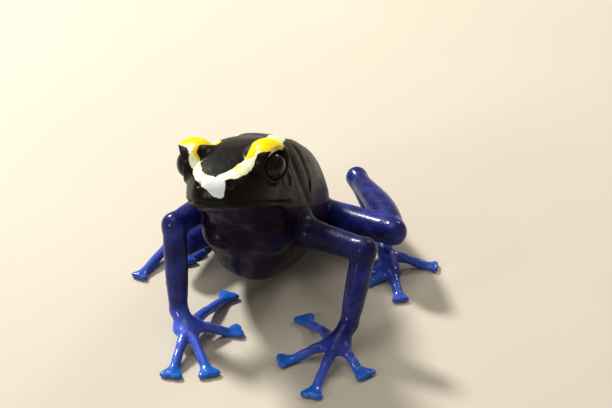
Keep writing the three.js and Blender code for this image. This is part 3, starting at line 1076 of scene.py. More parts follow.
class WetGrain:
    """A shader group with the fine grain of wet skin, as a height and a gloss that varies.

    Attributes:
        INPUTS: What the group is given, with its usual values.
        BEAD: How far from its middle a granule starts to fall away, and where it ends.
        BEAD_BLEND: How softly granules meet.
        UNEVEN: Where they stand higher.
        LOWEST_BEAD: Their height elsewhere, as a share.
        FINE: Lumps in each millimetre of the fine grain over them, and its finer layers.
        FINE_SHARE: Height of that grain, where a granule's is 1.
        PATCHES: Where the gloss is weaker.
        PATCH_GLOSS: What is added to the roughness elsewhere and there.
    """

    NAME = "wet_grain"
    INPUTS = {"Grain": 3.4, "Depth": 1.0, "Dry": 0.35}
    BEAD = (0.1, 0.75)
    BEAD_BLEND = 0.7
    UNEVEN = Mottle(0.8, 0.3, 0.7, 2.0)
    LOWEST_BEAD = 0.45
    FINE = (9.0, 2.0)
    FINE_SHARE = 0.25
    PATCHES = Mottle(1.6, 0.3, 0.75)
    PATCH_GLOSS = (-0.08, 0.1)

    @classmethod
    def group(cls) -> bpy.types.NodeTree:
        """Makes the group, once.

        Returns:
            Its nodes.
        """
        if cls.NAME in bpy.data.node_groups:
            return bpy.data.node_groups[cls.NAME]
        tree = bpy.data.node_groups.new(cls.NAME, "ShaderNodeTree")
        for name, value in cls.INPUTS.items():
            socket = tree.interface.new_socket(name, in_out="INPUT", socket_type="NodeSocketFloat")
            socket.default_value = value
        for name in ("Height", "Roughness"):
            tree.interface.new_socket(name, in_out="OUTPUT", socket_type="NodeSocketFloat")
        nodes = Nodes(tree)
        given = nodes.add("NodeGroupInput")
        scale = nodes.math("MULTIPLY", given.outputs["Grain"], 1.0 / MILLIMETRE)
        cells = nodes.add("ShaderNodeTexVoronoi", {"feature": "SMOOTH_F1"}, Vector=nodes.place(),
                          Scale=scale, Smoothness=cls.BEAD_BLEND)
        bead = nodes.ramp(cells.outputs["Distance"], *cls.BEAD, 1.0, 0.0)
        height = nodes.math("MULTIPLY", bead, nodes.mottle(cls.UNEVEN, cls.LOWEST_BEAD, 1.0))
        fine = nodes.math("MULTIPLY", nodes.noise(*cls.FINE), cls.FINE_SHARE)
        height = nodes.math("ADD", height, fine)
        height = nodes.math("MULTIPLY", height, given.outputs["Depth"])
        rough = nodes.math("ADD", given.outputs["Dry"], nodes.mottle(cls.PATCHES, *cls.PATCH_GLOSS))
        nodes.add("NodeGroupOutput", Height=height, Roughness=rough)
        return tree

    @classmethod
    def into(cls, nodes: Nodes, grain: float, depth: object, dry: object) -> bpy.types.Node:
        """Places the group in a material.

        Args:
            nodes: The material's nodes.
            grain: Granules in each millimetre.
            depth: How high they stand, as a share.
            dry: Roughness at the middle of its range.

        Returns:
            The group's node.
        """
        return nodes.add("ShaderNodeGroup", {"node_tree": cls.group()}, Grain=grain, Depth=depth, Dry=dry)


def new_material(name: str) -> tuple[bpy.types.Material, Nodes, bpy.types.Node]:
    """An empty node material.

    Args:
        name: Its name.

    Returns:
        The material, its nodes and its Principled shader, which is linked to the output.
    """
    material = bpy.data.materials.new(name)
    material.use_nodes = True
    material.node_tree.nodes.clear()
    nodes = Nodes(material.node_tree)
    shader = nodes.add("ShaderNodeBsdfPrincipled")
    nodes.add("ShaderNodeOutputMaterial", Surface=shader.outputs[0])
    return material, nodes, shader


@dataclass(frozen=True)
class SkinFinish:
    """The colours and gloss of the skin.

    Attributes:
        granules: How many there are in each millimetre.
        bump: How high they stand, in metres.
        smooth_paint: Their height on the stripes, as a share.
        dry: Roughness on the body and on the limbs.
        film: Coat of water on the body and on the limbs.
        hand_film: How much more of it the hands and feet have.
        streaks: Where the flanks are greyer.
        marbles: Where the throat and belly are purple.
        clouds: Where the limbs are lighter.
        wander: How the edges of the stripes wander.
        spots: Where the white and cream of a stripe is yellow.
        warmth: Where the yellow is warmer.
        wobble: How far the edges of the stripes wander, in millimetres.
        stripe_edge: Where a stripe's colour begins and where it is full, inside its outline.
        line_edge: The same for the pale lines on the back.
        lid_edge: The same for the yellow of the lids.
        white_end: Where along a stripe the white of the snout ends.
    """

    black: Shade = Shade(0.005, 0.0034, 0.0025)
    grey: Shade = Shade(0.016, 0.014, 0.012)
    throat: Shade = Shade(0.006, 0.003, 0.011)
    marbling: Shade = Shade(0.009, 0.006, 0.028)
    navy: Shade = Shade(0.007, 0.009, 0.075)
    navy_light: Shade = Shade(0.019, 0.025, 0.19)
    azure: Shade = Shade(0.05, 0.088, 0.5)
    pad: Shade = Shade(0.008, 0.1, 0.46)
    yellow: Shade = Shade(0.86, 0.62, 0.001)
    amber: Shade = Shade(0.85, 0.53, 0.001)
    cream: Shade = Shade(0.86, 0.85, 0.62)
    spot: Shade = Shade(0.9, 0.8, 0.1)
    white: Shade = Shade(0.66, 0.69, 0.68)
    mint: Shade = Shade(0.5, 0.58, 0.38)
    granules: float = 3.6
    bump: float = 0.000035
    bump_strength: float = 0.55
    smooth_paint: float = 0.45
    dry: tuple[float, float] = (0.4, 0.33)
    film: tuple[float, float] = (0.06, 0.3)
    hand_film: float = 0.35
    film_roughness: float = 0.15
    index: float = 1.33
    specular: float = 0.13
    streaks: Mottle = Mottle(0.55, 0.42, 0.7, 4.0, 0.6)
    marbles: Mottle = Mottle(0.35, 0.5, 0.66, 3.0, 0.5)
    clouds: Mottle = Mottle(0.5, 0.35, 0.68)
    wander: Mottle = Mottle(0.9, 0.25, 0.75, 1.0)
    spots: Mottle = Mottle(0.8, 0.5, 0.68, 1.0)
    warmth: Mottle = Mottle(0.7, 0.35, 0.65, 2.0)
    wobble: float = 0.09
    stripe_edge: tuple[float, float] = (-0.05, 0.07)
    line_edge: tuple[float, float] = (-0.08, 0.12)
    lid_edge: tuple[float, float] = (-0.12, 0.12)
    white_end: tuple[float, float] = (0.14, 0.32)

    def material(self) -> bpy.types.Material:
        """Makes the skin's material.

        Returns:
            The material.
        """
        material, nodes, shader = new_material("frog_skin")
        colour = self.ground(nodes)
        colour = self.limbs(nodes, colour)
        colour, stripe = self.stripes(nodes, colour)
        grain = WetGrain.into(nodes, self.granules, nodes.ramp(stripe, 0.0, 1.0, 1.0, self.smooth_paint),
                              nodes.ramp(nodes.read("limb"), 0.0, 1.0, *self.dry))
        bump = nodes.add("ShaderNodeBump", Strength=self.bump_strength, Distance=self.bump,
                         Height=grain.outputs["Height"])
        film = nodes.ramp(nodes.read("limb"), 0.0, 1.0, *self.film)
        film = nodes.math("ADD", film, nodes.ramp(nodes.read("hand"), 0.0, 1.0, 0.0, self.hand_film))
        nodes.fill(shader, Base_Color=colour, Roughness=grain.outputs["Roughness"], Normal=bump.outputs[0],
                   Coat_Weight=film, Coat_Roughness=self.film_roughness, IOR=self.index,
                   Specular_IOR_Level=self.specular)
        return material

    def ground(self, nodes: Nodes) -> bpy.types.NodeSocket:
        """Black head and back, with the greyer flanks and the purple-black throat and belly.

        Args:
            nodes: The material's nodes.

        Returns:
            The colour.
        """
        streak = nodes.math("MULTIPLY", nodes.mottle(self.streaks), nodes.read("flank"))
        back = nodes.mix(streak, self.black, self.grey)
        belly = nodes.mix(nodes.mottle(self.marbles), self.throat, self.marbling)
        return nodes.mix(nodes.read("under"), back, belly)

    def limbs(self, nodes: Nodes, colour: bpy.types.NodeSocket) -> bpy.types.NodeSocket:
        """Navy limbs, bluer towards the hands, with azure pads.

        Args:
            nodes: The material's nodes.
            colour: What the rest of the skin has.

        Returns:
            The colour with them.
        """
        navy = nodes.mix(nodes.mottle(self.clouds), self.navy, self.navy_light)
        # The limb mask also carries the painted shade on the left arm
        colour = nodes.mix(nodes.read("limb"), colour, navy)
        # The hand mask reaches higher on the right hand, painted light, and lower on the left, painted shade
        colour = nodes.mix(nodes.read("hand"), colour, self.azure)
        return nodes.mix(nodes.read("pad"), colour, self.pad)

    def stripes(self, nodes: Nodes, colour: bpy.types.NodeSocket) -> tuple[bpy.types.NodeSocket, ...]:
        """The stripes over the snout and lids, and the pale lines along the back.

        Args:
            nodes: The material's nodes.
            colour: What lies under them.

        Returns:
            The colour with them, and how much of them a place has.
        """
        wobble = nodes.mottle(self.wander, -self.wobble, self.wobble)
        stripe = nodes.ramp(nodes.math("ADD", nodes.read("stripe"), wobble), *self.stripe_edge)
        pale = nodes.mix(nodes.mottle(self.spots), self.cream, self.spot)
        pale = nodes.mix(nodes.ramp(nodes.read("stripe_run"), *self.white_end), self.white, pale)
        lid = nodes.mix(nodes.mottle(self.warmth), self.yellow, self.amber)
        edge = nodes.math("ADD", nodes.read("lid"), nodes.math("MULTIPLY", wobble, 2.0))
        paint = nodes.mix(nodes.ramp(edge, *self.lid_edge), pale, lid)
        colour = nodes.mix(stripe, colour, paint)
        line = nodes.ramp(nodes.math("ADD", nodes.read("back_line"), wobble), *self.line_edge)
        return nodes.mix(line, colour, self.mint), nodes.math("MAXIMUM", stripe, line)


@dataclass(frozen=True)
class EyeFinish:
    """The dark, glossy eye, with its pupil, the iris and the fibres in it.

    Attributes:
        fibres: Where the fibres lie.
        pupil_edge: Where the pupil ends and the iris begins, as shares of the pupil's size.
    """

    pupil: Shade = Shade(0.001, 0.001, 0.001)
    iris: Shade = Shade(0.008, 0.004, 0.003)
    fibre: Shade = Shade(0.02, 0.01, 0.006)
    fibres: Mottle = Mottle(2.4, 0.35, 0.7)
    pupil_edge: tuple[float, float] = (0.9, 1.05)
    roughness: float = 0.12
    coat: float = 0.1
    coat_roughness: float = 0.04
    index: float = 1.34
    specular: float = 0.3

    def material(self) -> bpy.types.Material:
        """Makes the eye's material.

        Returns:
            The material.
        """
        material, nodes, shader = new_material("frog_eye")
        iris = nodes.mix(nodes.mottle(self.fibres), self.iris, self.fibre)
        colour = nodes.mix(nodes.ramp(nodes.read("pupil"), *self.pupil_edge), self.pupil, iris)
        nodes.fill(shader, Base_Color=colour, Roughness=self.roughness, Coat_Weight=self.coat,
                   Coat_Roughness=self.coat_roughness, IOR=self.index, Specular_IOR_Level=self.specular)
        return material


@dataclass(frozen=True)
class FloorFinish:
    """The plain pale floor."""

    light: Shade = Shade(0.52, 0.46, 0.36)
    dark: Shade = Shade(0.46, 0.4, 0.31)
    clouds: float = 0.02
    roughness: float = 0.7

    def material(self) -> bpy.types.Material:
        """Makes the floor's material.

        Returns:
            The material.
        """
        material, nodes, shader = new_material("pale_floor")
        colour = nodes.mix(nodes.noise(self.clouds), self.dark, self.light)
        nodes.fill(shader, Base_Color=colour, Roughness=self.roughness)
        return material


# Building the pieces


def mesh_object(name: str, vertices: Array, faces: Array, material: bpy.types.Material) -> bpy.types.Object:
    """A smooth mesh from arrays.

    Args:
        name: The piece's name.
        vertices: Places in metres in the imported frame.
        faces: Corner numbers, the same count for each face.
        material: Its finish.

    Returns:
        The object.
    """
    mesh = bpy.data.meshes.new(name)
    mesh.vertices.add(len(vertices))
    mesh.vertices.foreach_set("co", np.ascontiguousarray(vertices, dtype=np.float32).ravel())
    corners = faces.shape[1]
    mesh.loops.add(faces.size)
    mesh.loops.foreach_set("vertex_index", np.ascontiguousarray(faces, dtype=np.int32).ravel())
    mesh.polygons.add(len(faces))
    mesh.polygons.foreach_set("loop_start", np.arange(len(faces), dtype=np.int32) * corners)
    mesh.polygons.foreach_set("use_smooth", np.ones(len(faces), dtype=bool))
    mesh.update(calc_edges=True)
    mesh.validate()
    mesh.materials.append(material)
    made = bpy.data.objects.new(name, mesh)
    bpy.context.scene.collection.objects.link(made)
    return made


def keep_values(made: bpy.types.Object, values: dict[str, Array]) -> None:
    """Stores one number for each vertex under each name.

    Args:
        made: The object.
        values: One row of numbers under each name.
    """
    for name, row in values.items():
        layer = made.data.attributes.new(name, "FLOAT", "POINT")
        layer.data.foreach_set("value", np.ascontiguousarray(row, dtype=np.float32))


@dataclass
class Stripe:
    """A painted stripe on the head, in the head's own directions.

    Attributes:
        line: Forward, left, up and half width along it, from snout to back.
        steps: How many points stand for it.
    """

    line: tuple[tuple[float, float, float, float], ...]
    steps: int = 40

    def read(self, own: Array) -> tuple[Array, Array]:
        """Where points lie on the stripe.

        Args:
            own: The points in the head's own directions.

        Returns:
            How far inside it they lie, and where along it from 0 to 1.
        """
        rows = through(self.line, self.steps)
        best = np.full(len(own), -FAR)
        where = np.zeros(len(own))
        for index, (start, end) in enumerate(zip(rows[:-1], rows[1:])):
            along = end[:3] - start[:3]
            offset = own - start[:3]
            share = np.clip(offset @ along / (along @ along), 0.0, 1.0)
            gap = np.linalg.norm(offset - share[:, None] * along, axis=1)
            inside = start[3] + share * (end[3] - start[3]) - gap
            better = inside > best
            best = np.where(better, inside, best)
            where = np.where(better, (index + share) / (len(rows) - 1), where)
        return best, where


@dataclass
class Skin:
    """The one skin of the frog, from snout to toes.

    Attributes:
        step: Distance between the points of the grid that it is made on.
        body_room: Lowest and highest corner of the clay of head and trunk.
        whole_room: The same for the whole frog.
        carve_room: How far below and above the head's middle its details reach.
        neck_blend: Width of the fillet between head and trunk.
        shoulder: Reach of the shoulder's fillet, and its width there and far from it.
        hip: The same for the hip.
        sole_edge: Rounding where the pads meet the floor.
        lid_front: How far forward the yellow of the lids reaches.
        left_lid: Height of the yellow's edge on the left lid, its slope, and where that height holds.
        right_lid: The same edge on the right lid, as a height and a place.
        bare_rim: Width of the black rim round each eyeball.
        left_fade: How far from the left shoulder the arm turns blue, well past it, for the painted shade on
            the left arm.
        elbow_fade: How far from the left elbow the painted shade round it reaches.
        right_fade: How far from the right shoulder the arm turns blue.
        arm_reach: How far from the left shoulder the painted shade on the left arm reaches.
        hand_fade: Heights between which each arm turns azure. The right arm turns azure higher up, painted
            light, and the left lower down, painted shade.
        pad_fade: How far from a digit's tip its end turns bright blue.
        on_limb: How near a limb's own clay the skin counts as the limb's.
        flank: Where the greyer flanks start, and from which to which share of the half width.
        lines: Back, left and half width along the pale lines on the back.
        folds: Back, left and height along the folds of the left side.
        chest: The bulge of the breast on the left.
        stripes: The stripes from the snout over the lids.
    """

    head: HeadForm
    trunk: TrunkForm
    eyes: EyeForm
    limbs: LimbForm
    step: float = 0.13
    body_room: tuple[Array, Array] = field(default_factory=lambda: (
        vec(-11.0, -6.5, -0.6), vec(11.0, 36.0, 26.5),
    ))
    whole_room: tuple[Array, Array] = field(default_factory=lambda: (
        vec(-19.5, -15.5, -0.7), vec(24.0, 36.5, 27.0),
    ))
    carve_room: tuple[float, float] = (14.0, 9.0)
    neck_blend: float = 1.2
    lid_blend: float = 0.6
    chest_blend: float = 1.2
    no_blend: float = 0.01
    shoulder: tuple[float, tuple[float, float]] = (4.2, (2.2, 0.15))
    hip: tuple[float, tuple[float, float]] = (5.0, (2.0, 0.25))
    sole_edge: float = 0.12
    lid_front: float = 3.1
    left_lid: tuple[float, float, float] = (0.9, 0.35, 2.9)
    right_lid: tuple[float, float] = (2.3, -3.75)
    bare_rim: float = 0.4
    # Painted shade on the left arm, which stays dark well past the shoulder and round the elbow; the right
    # arm only fades to black at the shoulder
    left_fade: tuple[float, float] = (4.0, 12.0)
    elbow_fade: tuple[float, float] = (0.4, 3.6)
    right_fade: tuple[float, float] = (2.6, 6.4)
    arm_reach: float = 11.0
    least_blue: float = 0.1
    blue_edge: float = 0.5
    on_limb: float = 0.2
    foot_top: float = 2.4
    foot_blue: float = 0.55
    foot_fade: float = 3.0
    toe_blue: float = 0.35
    pad_fade: tuple[float, float] = (4.2, 0.8)
    throat_fade: tuple[float, float] = (-0.3, -1.2)
    belly_fade: tuple[float, float] = (1.0, -2.5)
    nape_fade: tuple[float, float] = (-9.0, -6.0)
    jaw_back: float = -7.5
    flank: tuple[float, float] = (-2.0, 1.5)
    flank_side: tuple[float, float] = (0.15, 0.75)
    half_back: float = 6.6
    # Painted light on the right hand, whose azure reaches higher, and painted shade on the left, whose azure
    # stays lower
    hand_fade: dict[Side, tuple[float, float]] = field(default_factory=lambda: {
        Side.LEFT: (3.2, 0.6), Side.RIGHT: (5.0, 2.9),
    })
    lines: dict[Side, tuple[tuple[float, float, float], ...]] = field(default_factory=lambda: {
        Side.LEFT: (
            (-4.6, 3.5, 0.0), (-3.4, 3.2, 0.5), (-1.0, 2.6, 0.8), (2.0, 1.9, 1.0), (4.6, 1.7, 1.05),
            (8.0, 2.4, 0.85), (12.0, 2.9, 0.7), (16.0, 2.5, 0.55), (18.5, 1.9, 0.4), (21.4, 1.0, -0.15),
        ),
        Side.RIGHT: (
            (-4.4, -4.7, -0.1), (-3.0, -4.6, 0.35), (-1.0, -4.3, 0.6), (2.0, -3.8, 0.7), (5.0, -3.5, 0.75),
            (8.0, -3.4, 0.7), (12.0, -3.1, 0.65), (16.0, -2.6, 0.5), (18.5, -1.9, 0.38), (21.4, -1.0, -0.15),
        ),
    })
    folds: tuple[tuple[tuple[float, float, float], ...], ...] = (
        ((0.8, 4.2, 20.0), (-0.4, 5.2, 18.2), (-0.6, 5.9, 16.2), (-0.2, 6.4, 14.2)),
        ((3.6, 4.3, 18.6), (2.6, 5.4, 17.0), (2.0, 6.2, 15.0), (1.6, 6.7, 12.6)),
        ((-6.6, 4.4, 13.6), (-7.5, 2.2, 13.6), (-7.8, 0.0, 13.7)),
    )
    fold_depth: float = 0.22
    fold_width: float = 0.6
    chest: Egg = field(default_factory=lambda: Egg(vec(-4.9, 2.6, 11.5), vec(2.6, 2.8, 1.9)))
    stripes: dict[Side, Stripe] = field(default_factory=lambda: {
        Side.RIGHT: Stripe((
            (6.98, 0.75, -3.05, 0.42), (6.95, 0.35, -2.5, 0.8), (6.7, -0.4, -1.75, 0.95),
            (6.1, -1.6, -1.35, 0.66), (5.2, -2.35, -0.85, 0.6), (3.4, -3.15, 0.0, 0.62),
            (2.6, -3.75, 1.0, 0.74), (1.8, -4.1, 2.1, 1.05), (0.8, -4.3, 2.8, 1.75),
            (-0.5, -3.7, 3.0, 1.65), (-1.6, -2.9, 2.7, 1.0), (-2.6, -2.3, 2.7, 0.4),
        )),
        Side.LEFT: Stripe((
            (6.98, 0.75, -3.05, 0.42), (6.9, 0.5, -2.1, 0.85), (6.3, 0.5, -1.3, 0.55),
            (5.9, 1.2, -1.05, 0.6), (5.2, 2.0, -0.75, 0.75), (3.8, 2.75, 0.0, 0.78),
            (2.75, 3.3, 0.85, 0.8), (2.1, 3.95, 1.75, 1.12), (1.2, 4.7, 2.65, 1.75),
            (-0.2, 4.7, 3.0, 1.65), (-1.8, 4.3, 2.7, 1.0), (-3.0, 3.9, 2.5, 0.5),
        )),
    })

    def past_shoulders(self, points: Array) -> Array:
        """How far out on the arms points lie.

        Args:
            points: Places in the frog's own frame.

        Returns:
            0 at the shoulders, where the blue fades into black, and 1 further out. The left arm has painted
            shade: it stays dark well past its shoulder and round its elbow, with a little blue left.
        """
        left, right = (np.linalg.norm(points - LIMBS[side].arm[0], axis=1) for side in Side)
        elbow = np.linalg.norm(points - LIMBS[Side.LEFT].arm[1], axis=1)
        # Painted shade on the left arm: dark well past the shoulder and round the elbow, with a little blue
        # left
        blue_after_painted_shade = smooth_step(*self.left_fade, left) * smooth_step(*self.elbow_fade, elbow)
        blue_after_painted_shade = np.where(left < self.arm_reach, np.minimum(blue_after_painted_shade + self.least_blue, 1.0), 1.0)
        return np.minimum(blue_after_painted_shade, smooth_step(*self.right_fade, right))

    def lids(self, own: Array) -> Array:
        """Which part of the stripes is yellow.

        Args:
            own: Points in the head's own directions.

        Returns:
            Values above 0 on that part, which covers the lids.
        """
        forward, left, up = own.T
        height, slope, place = self.left_lid
        over_left = up - height - slope * (left - place)
        over_right = np.maximum(up - self.right_lid[0], left - self.right_lid[1])
        return np.minimum(self.lid_front - forward, np.where(left > 0, over_left, over_right))

    def back_lines(self, back: Array, left: Array, height: Array) -> Array:
        """How far inside the pale lines along the back points lie.

        Args:
            back: How far along the trunk each lies.
            left: How far to the left.
            height: How high.

        Returns:
            The distances, negative outside the lines.
        """
        inside = np.full(len(back), -FAR)
        for line in self.lines.values():
            along, place, half = np.array(line).T
            within = np.interp(back, along, half) - np.abs(left - np.interp(back, along, place))
            ends = np.minimum(back - along[0], along[-1] - back)
            inside = np.maximum(inside, np.minimum(within, ends))
        return np.minimum(inside, height - self.trunk.midline(back))

    def body(self) -> Clay:
        """Makes the head, trunk and lids.

        Returns:
            Them as clay.
        """
        clay = Clay(*self.body_room, self.step)
        window = clay.window(*self.body_room)
        points = clay.points(window)
        value = smooth_min(self.head.distance(points), self.trunk.distance(points), self.neck_blend)
        clay.value[window] = value
        for side in Side:
            clay.melt(self.eyes.lids(self.head, side), self.lid_blend)
            centre = self.trunk.place(*(self.chest.centre * vec(1, side.value, 1)))
            clay.melt(Egg(centre, self.chest.radii), self.chest_blend)
        return clay

    def carve(self, clay: Clay) -> None:
        """Opens the eyes, nostrils and mouth, draws the eardrums and presses the folds in.

        Args:
            clay: Head and trunk, which it changes.
        """
        head, eyes = self.head, self.eyes
        window = clay.window(head.middle - self.carve_room[0], head.middle + self.carve_room[1])
        points = clay.points(window)
        value = clay.value[window].astype(float)
        own = head.own(points)
        forward, _, up = np.moveaxis(own, -1, 0)
        line = np.exp(-(((up - head.mouth(forward)) / head.mouth_width) ** 2))
        start, end = (head.mouth_corner + ahead for ahead in head.mouth_fade)
        value += head.mouth_depth * line * smooth_step(start, end, forward)
        rim_height, rim_share = head.nostril_rim
        for side in Side:
            mirror = vec(1, side.value, 1)
            pit = nearness(own, head.nostril * mirror, head.nostril_radius)
            rim = nearness(own, head.nostril * mirror, head.nostril_radius * rim_share)
            value += head.nostril_depth * pit - rim_height * rim
            drum = np.linalg.norm((own - head.eardrum * mirror) * vec(1, head.eardrum_squash, 1), axis=-1)
            edge = np.exp(-(((drum - head.eardrum_radius) / head.eardrum_edge) ** 2))
            disc = smooth_step(head.eardrum_radius, head.eardrum_flat, drum)
            value += head.eardrum_depth * disc - head.eardrum_depth * edge
            for fold in self.folds:
                crease = np.array([self.trunk.place(*(np.array(place) * mirror)) for place in fold])
                gap = Rope(crease, np.zeros(len(crease))).distance(points)
                value += self.fold_depth * np.exp(-((gap / self.fold_width) ** 2))
            value = smooth_max(value, -eyes.cut(head, side, points), eyes.opening_edge)
            socket = eyes.radius + eyes.clearance
            value = np.maximum(value, socket - np.linalg.norm(points - eyes.centre(head, side), axis=-1))
        clay.value[window] = value

    def build(self, shift: Array) -> bpy.types.Object:
        """Makes the skin.

        Args:
            shift: From the frog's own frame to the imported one, in millimetres.

        Returns:
            The skin's object.
        """
        body = self.body()
        self.carve(body)
        whole = Clay(*self.whole_room, self.step)
        whole.join(body, self.head.middle, 1.0, (self.no_blend, self.no_blend))
        arms, legs = {}, {}
        for side, limbs in LIMBS.items():
            arms[side] = self.limbs.arm(limbs, self.step)
            legs[side] = self.limbs.leg(limbs, self.step)
            whole.join(arms[side], limbs.arm[0], *self.shoulder)
            whole.join(legs[side], limbs.leg[0], *self.hip)
        height = whole.points((slice(0, 1), slice(0, 1), slice(0, whole.shape[2])))[..., 2]
        whole.value = smooth_max(whole.value, -height.astype(np.float32), self.sole_edge)
        vertices, faces = whole.skin()
        LOG.info("skin: %d vertices, %d faces", len(vertices), len(faces))
        made = mesh_object("skin", (vertices + shift) * MILLIMETRE, faces, SkinFinish().material())
        keep_values(made, self.marks(vertices, body, arms, legs))
        return made

    def marks(self, vertices: Array, body: Clay, arms: dict, legs: dict) -> dict[str, Array]:
        """What the skin's material reads at each vertex.

        Args:
            vertices: The skin's vertices in the frog's own frame.
            body: Head and trunk.
            arms: The arm of each side.
            legs: The leg of each side.

        Returns:
            One row of numbers under each name.
        """
        own = self.head.own(vertices)
        back, left, height = self.trunk.own(vertices)
        inside, run = self.paint(vertices, own)
        hand, pad = self.blues(vertices, arms, legs)
        limb = np.minimum.reduce([clay.sample(vertices) for clay in (*arms.values(), *legs.values())])
        on_limb = smooth_step(self.blue_edge, -self.blue_edge, limb - body.sample(vertices))
        beside = smooth_step(*self.flank_side, np.abs(left) / self.half_back)
        return {
            "stripe": inside,
            "stripe_run": run,
            # The limbs' navy, faded to black at the shoulders and darkened by painted shade on the left arm
            "limb": on_limb * self.past_shoulders(vertices),
            # Azure of hands and feet, higher on the right hand for painted light and lower on the left for
            # painted shade
            "hand": hand,
            "pad": pad,
            "under": self.under(own, back, height),
            "flank": smooth_step(*self.flank, back) * beside,
            "lid": self.lids(own),
            "back_line": self.back_lines(back, left, height),
        }

    def paint(self, vertices: Array, own: Array) -> tuple[Array, Array]:
        """Where vertices lie on the stripes.

        Args:
            vertices: Places in the frog's own frame.
            own: The same in the head's own directions.

        Returns:
            How far inside a stripe they lie, and where along it from 0 to 1.
        """
        (first, first_run), (second, second_run) = (stripe.read(own) for stripe in self.stripes.values())
        inside = np.maximum(first, second)
        for side in Side:
            gap = np.linalg.norm(vertices - self.eyes.centre(self.head, side), axis=1) - self.eyes.radius
            inside = np.minimum(inside, gap - self.bare_rim)
        return inside, np.where(first > second, first_run, second_run)

    def blues(self, vertices: Array, arms: dict, legs: dict) -> tuple[Array, Array]:
        """How blue vertices on hands and feet are.

        Args:
            vertices: Places in the frog's own frame.
            arms: The arm of each side.
            legs: The leg of each side.

        Returns:
            How azure each is, and how much of the pads' colour it has.
        """
        hand, pad = np.zeros(len(vertices)), np.zeros(len(vertices))
        height = vertices[:, 2]
        for side, limbs in LIMBS.items():
            arm = arms[side].sample(vertices) < self.on_limb
            # Azure reaches higher on the right hand, painted light, and lower on the left, painted shade
            hand = np.maximum(hand, arm * smooth_step(*self.hand_fade[side], height))
            foot = (legs[side].sample(vertices) < self.on_limb) * (height < self.foot_top)
            reach = np.linalg.norm(vertices - limbs.leg[-1], axis=1)
            hand = np.maximum(hand, self.foot_blue * foot * smooth_step(0.0, self.foot_fade, reach))
            for tips, strength in ((limbs.fingers, 1.0), (limbs.toes, self.toe_blue)):
                for tip in tips:
                    gap = np.linalg.norm(vertices - vec(*tip, self.limbs.pad_height), axis=1)
                    pad = np.maximum(pad, strength * smooth_step(*self.pad_fade, gap))
        return hand, pad

    def under(self, own: Array, back: Array, height: Array) -> Array:
        """Which vertices are on the throat and belly.

        Args:
            own: The vertices in the head's own directions.
            back: How far along the trunk each lies.
            height: How high.

        Returns:
            1 there and 0 on the back.
        """
        forward, _, up = own.T
        below = smooth_step(*self.throat_fade, up - self.head.mouth(forward))
        low = smooth_step(*self.belly_fade, height - self.trunk.midline(back))
        is_head = smooth_step(*self.nape_fade, forward)
        return np.where(forward > self.jaw_back, below, low) * (1 - is_head) + below * is_head


@dataclass
class Eyeball:
    """One eye: a glossy ball with a raised cornea over a long pupil.

    Attributes:
        cornea: How far the cornea stands out.
        cornea_edge: Angles from the gaze between which it rises.
        pupil: Half the pupil's length and height, as shares of the ball's radius.
    """

    form: EyeForm
    head: HeadForm
    rings: int = 48
    sides: int = 72
    cornea: float = 0.09
    cornea_edge: tuple[float, float] = (0.95, 0.35)
    pupil: tuple[float, float] = (0.52, 0.4)

    def build(self, side: Side, shift: Array) -> bpy.types.Object:
        """Makes the eye of one side.

        Args:
            side: Which eye.
            shift: From the frog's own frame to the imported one, in millimetres.

        Returns:
            Its object.
        """
        radius = self.form.radius
        angle = np.linspace(0.0, math.pi, self.rings)
        turn = np.linspace(0.0, 2 * math.pi, self.sides, endpoint=False)
        bulge = radius + self.cornea * smooth_step(*self.cornea_edge, angle)
        out = np.repeat((bulge * np.cos(angle))[:, None], self.sides, axis=1)
        ring = (bulge * np.sin(angle))[:, None]
        own = np.stack([out, ring * np.cos(turn), ring * np.sin(turn)], axis=-1).reshape(-1, 3)
        centre = self.form.centre(self.head, side)
        vertices = centre + own @ self.form.look(self.head, side)
        rows = np.arange(self.rings - 1)[:, None] * self.sides
        column = np.arange(self.sides)[None, :]
        after = (column + 1) % self.sides
        ahead = rows + self.sides
        faces = np.stack([rows + column, ahead + column, ahead + after, rows + after], axis=-1)
        name = f"eyeball_{side.letter}"
        place = (vertices + shift) * MILLIMETRE
        made = mesh_object(name, place, faces.reshape(-1, 4), EyeFinish().material())
        pupil = np.hypot(own[:, 1] / (self.pupil[0] * radius), own[:, 2] / (self.pupil[1] * radius))
        keep_values(made, {"pupil": np.where(own[:, 0] > 0, pupil, FAR)})
        return made


@dataclass(frozen=True)
class Lamp:
    """A round soft box.

    Attributes:
        place: From the middle of the frog, in metres.
        size: Its width, in metres.
        power: In watts.
    """

    name: str
    place: tuple[float, float, float]
    size: float
    power: float


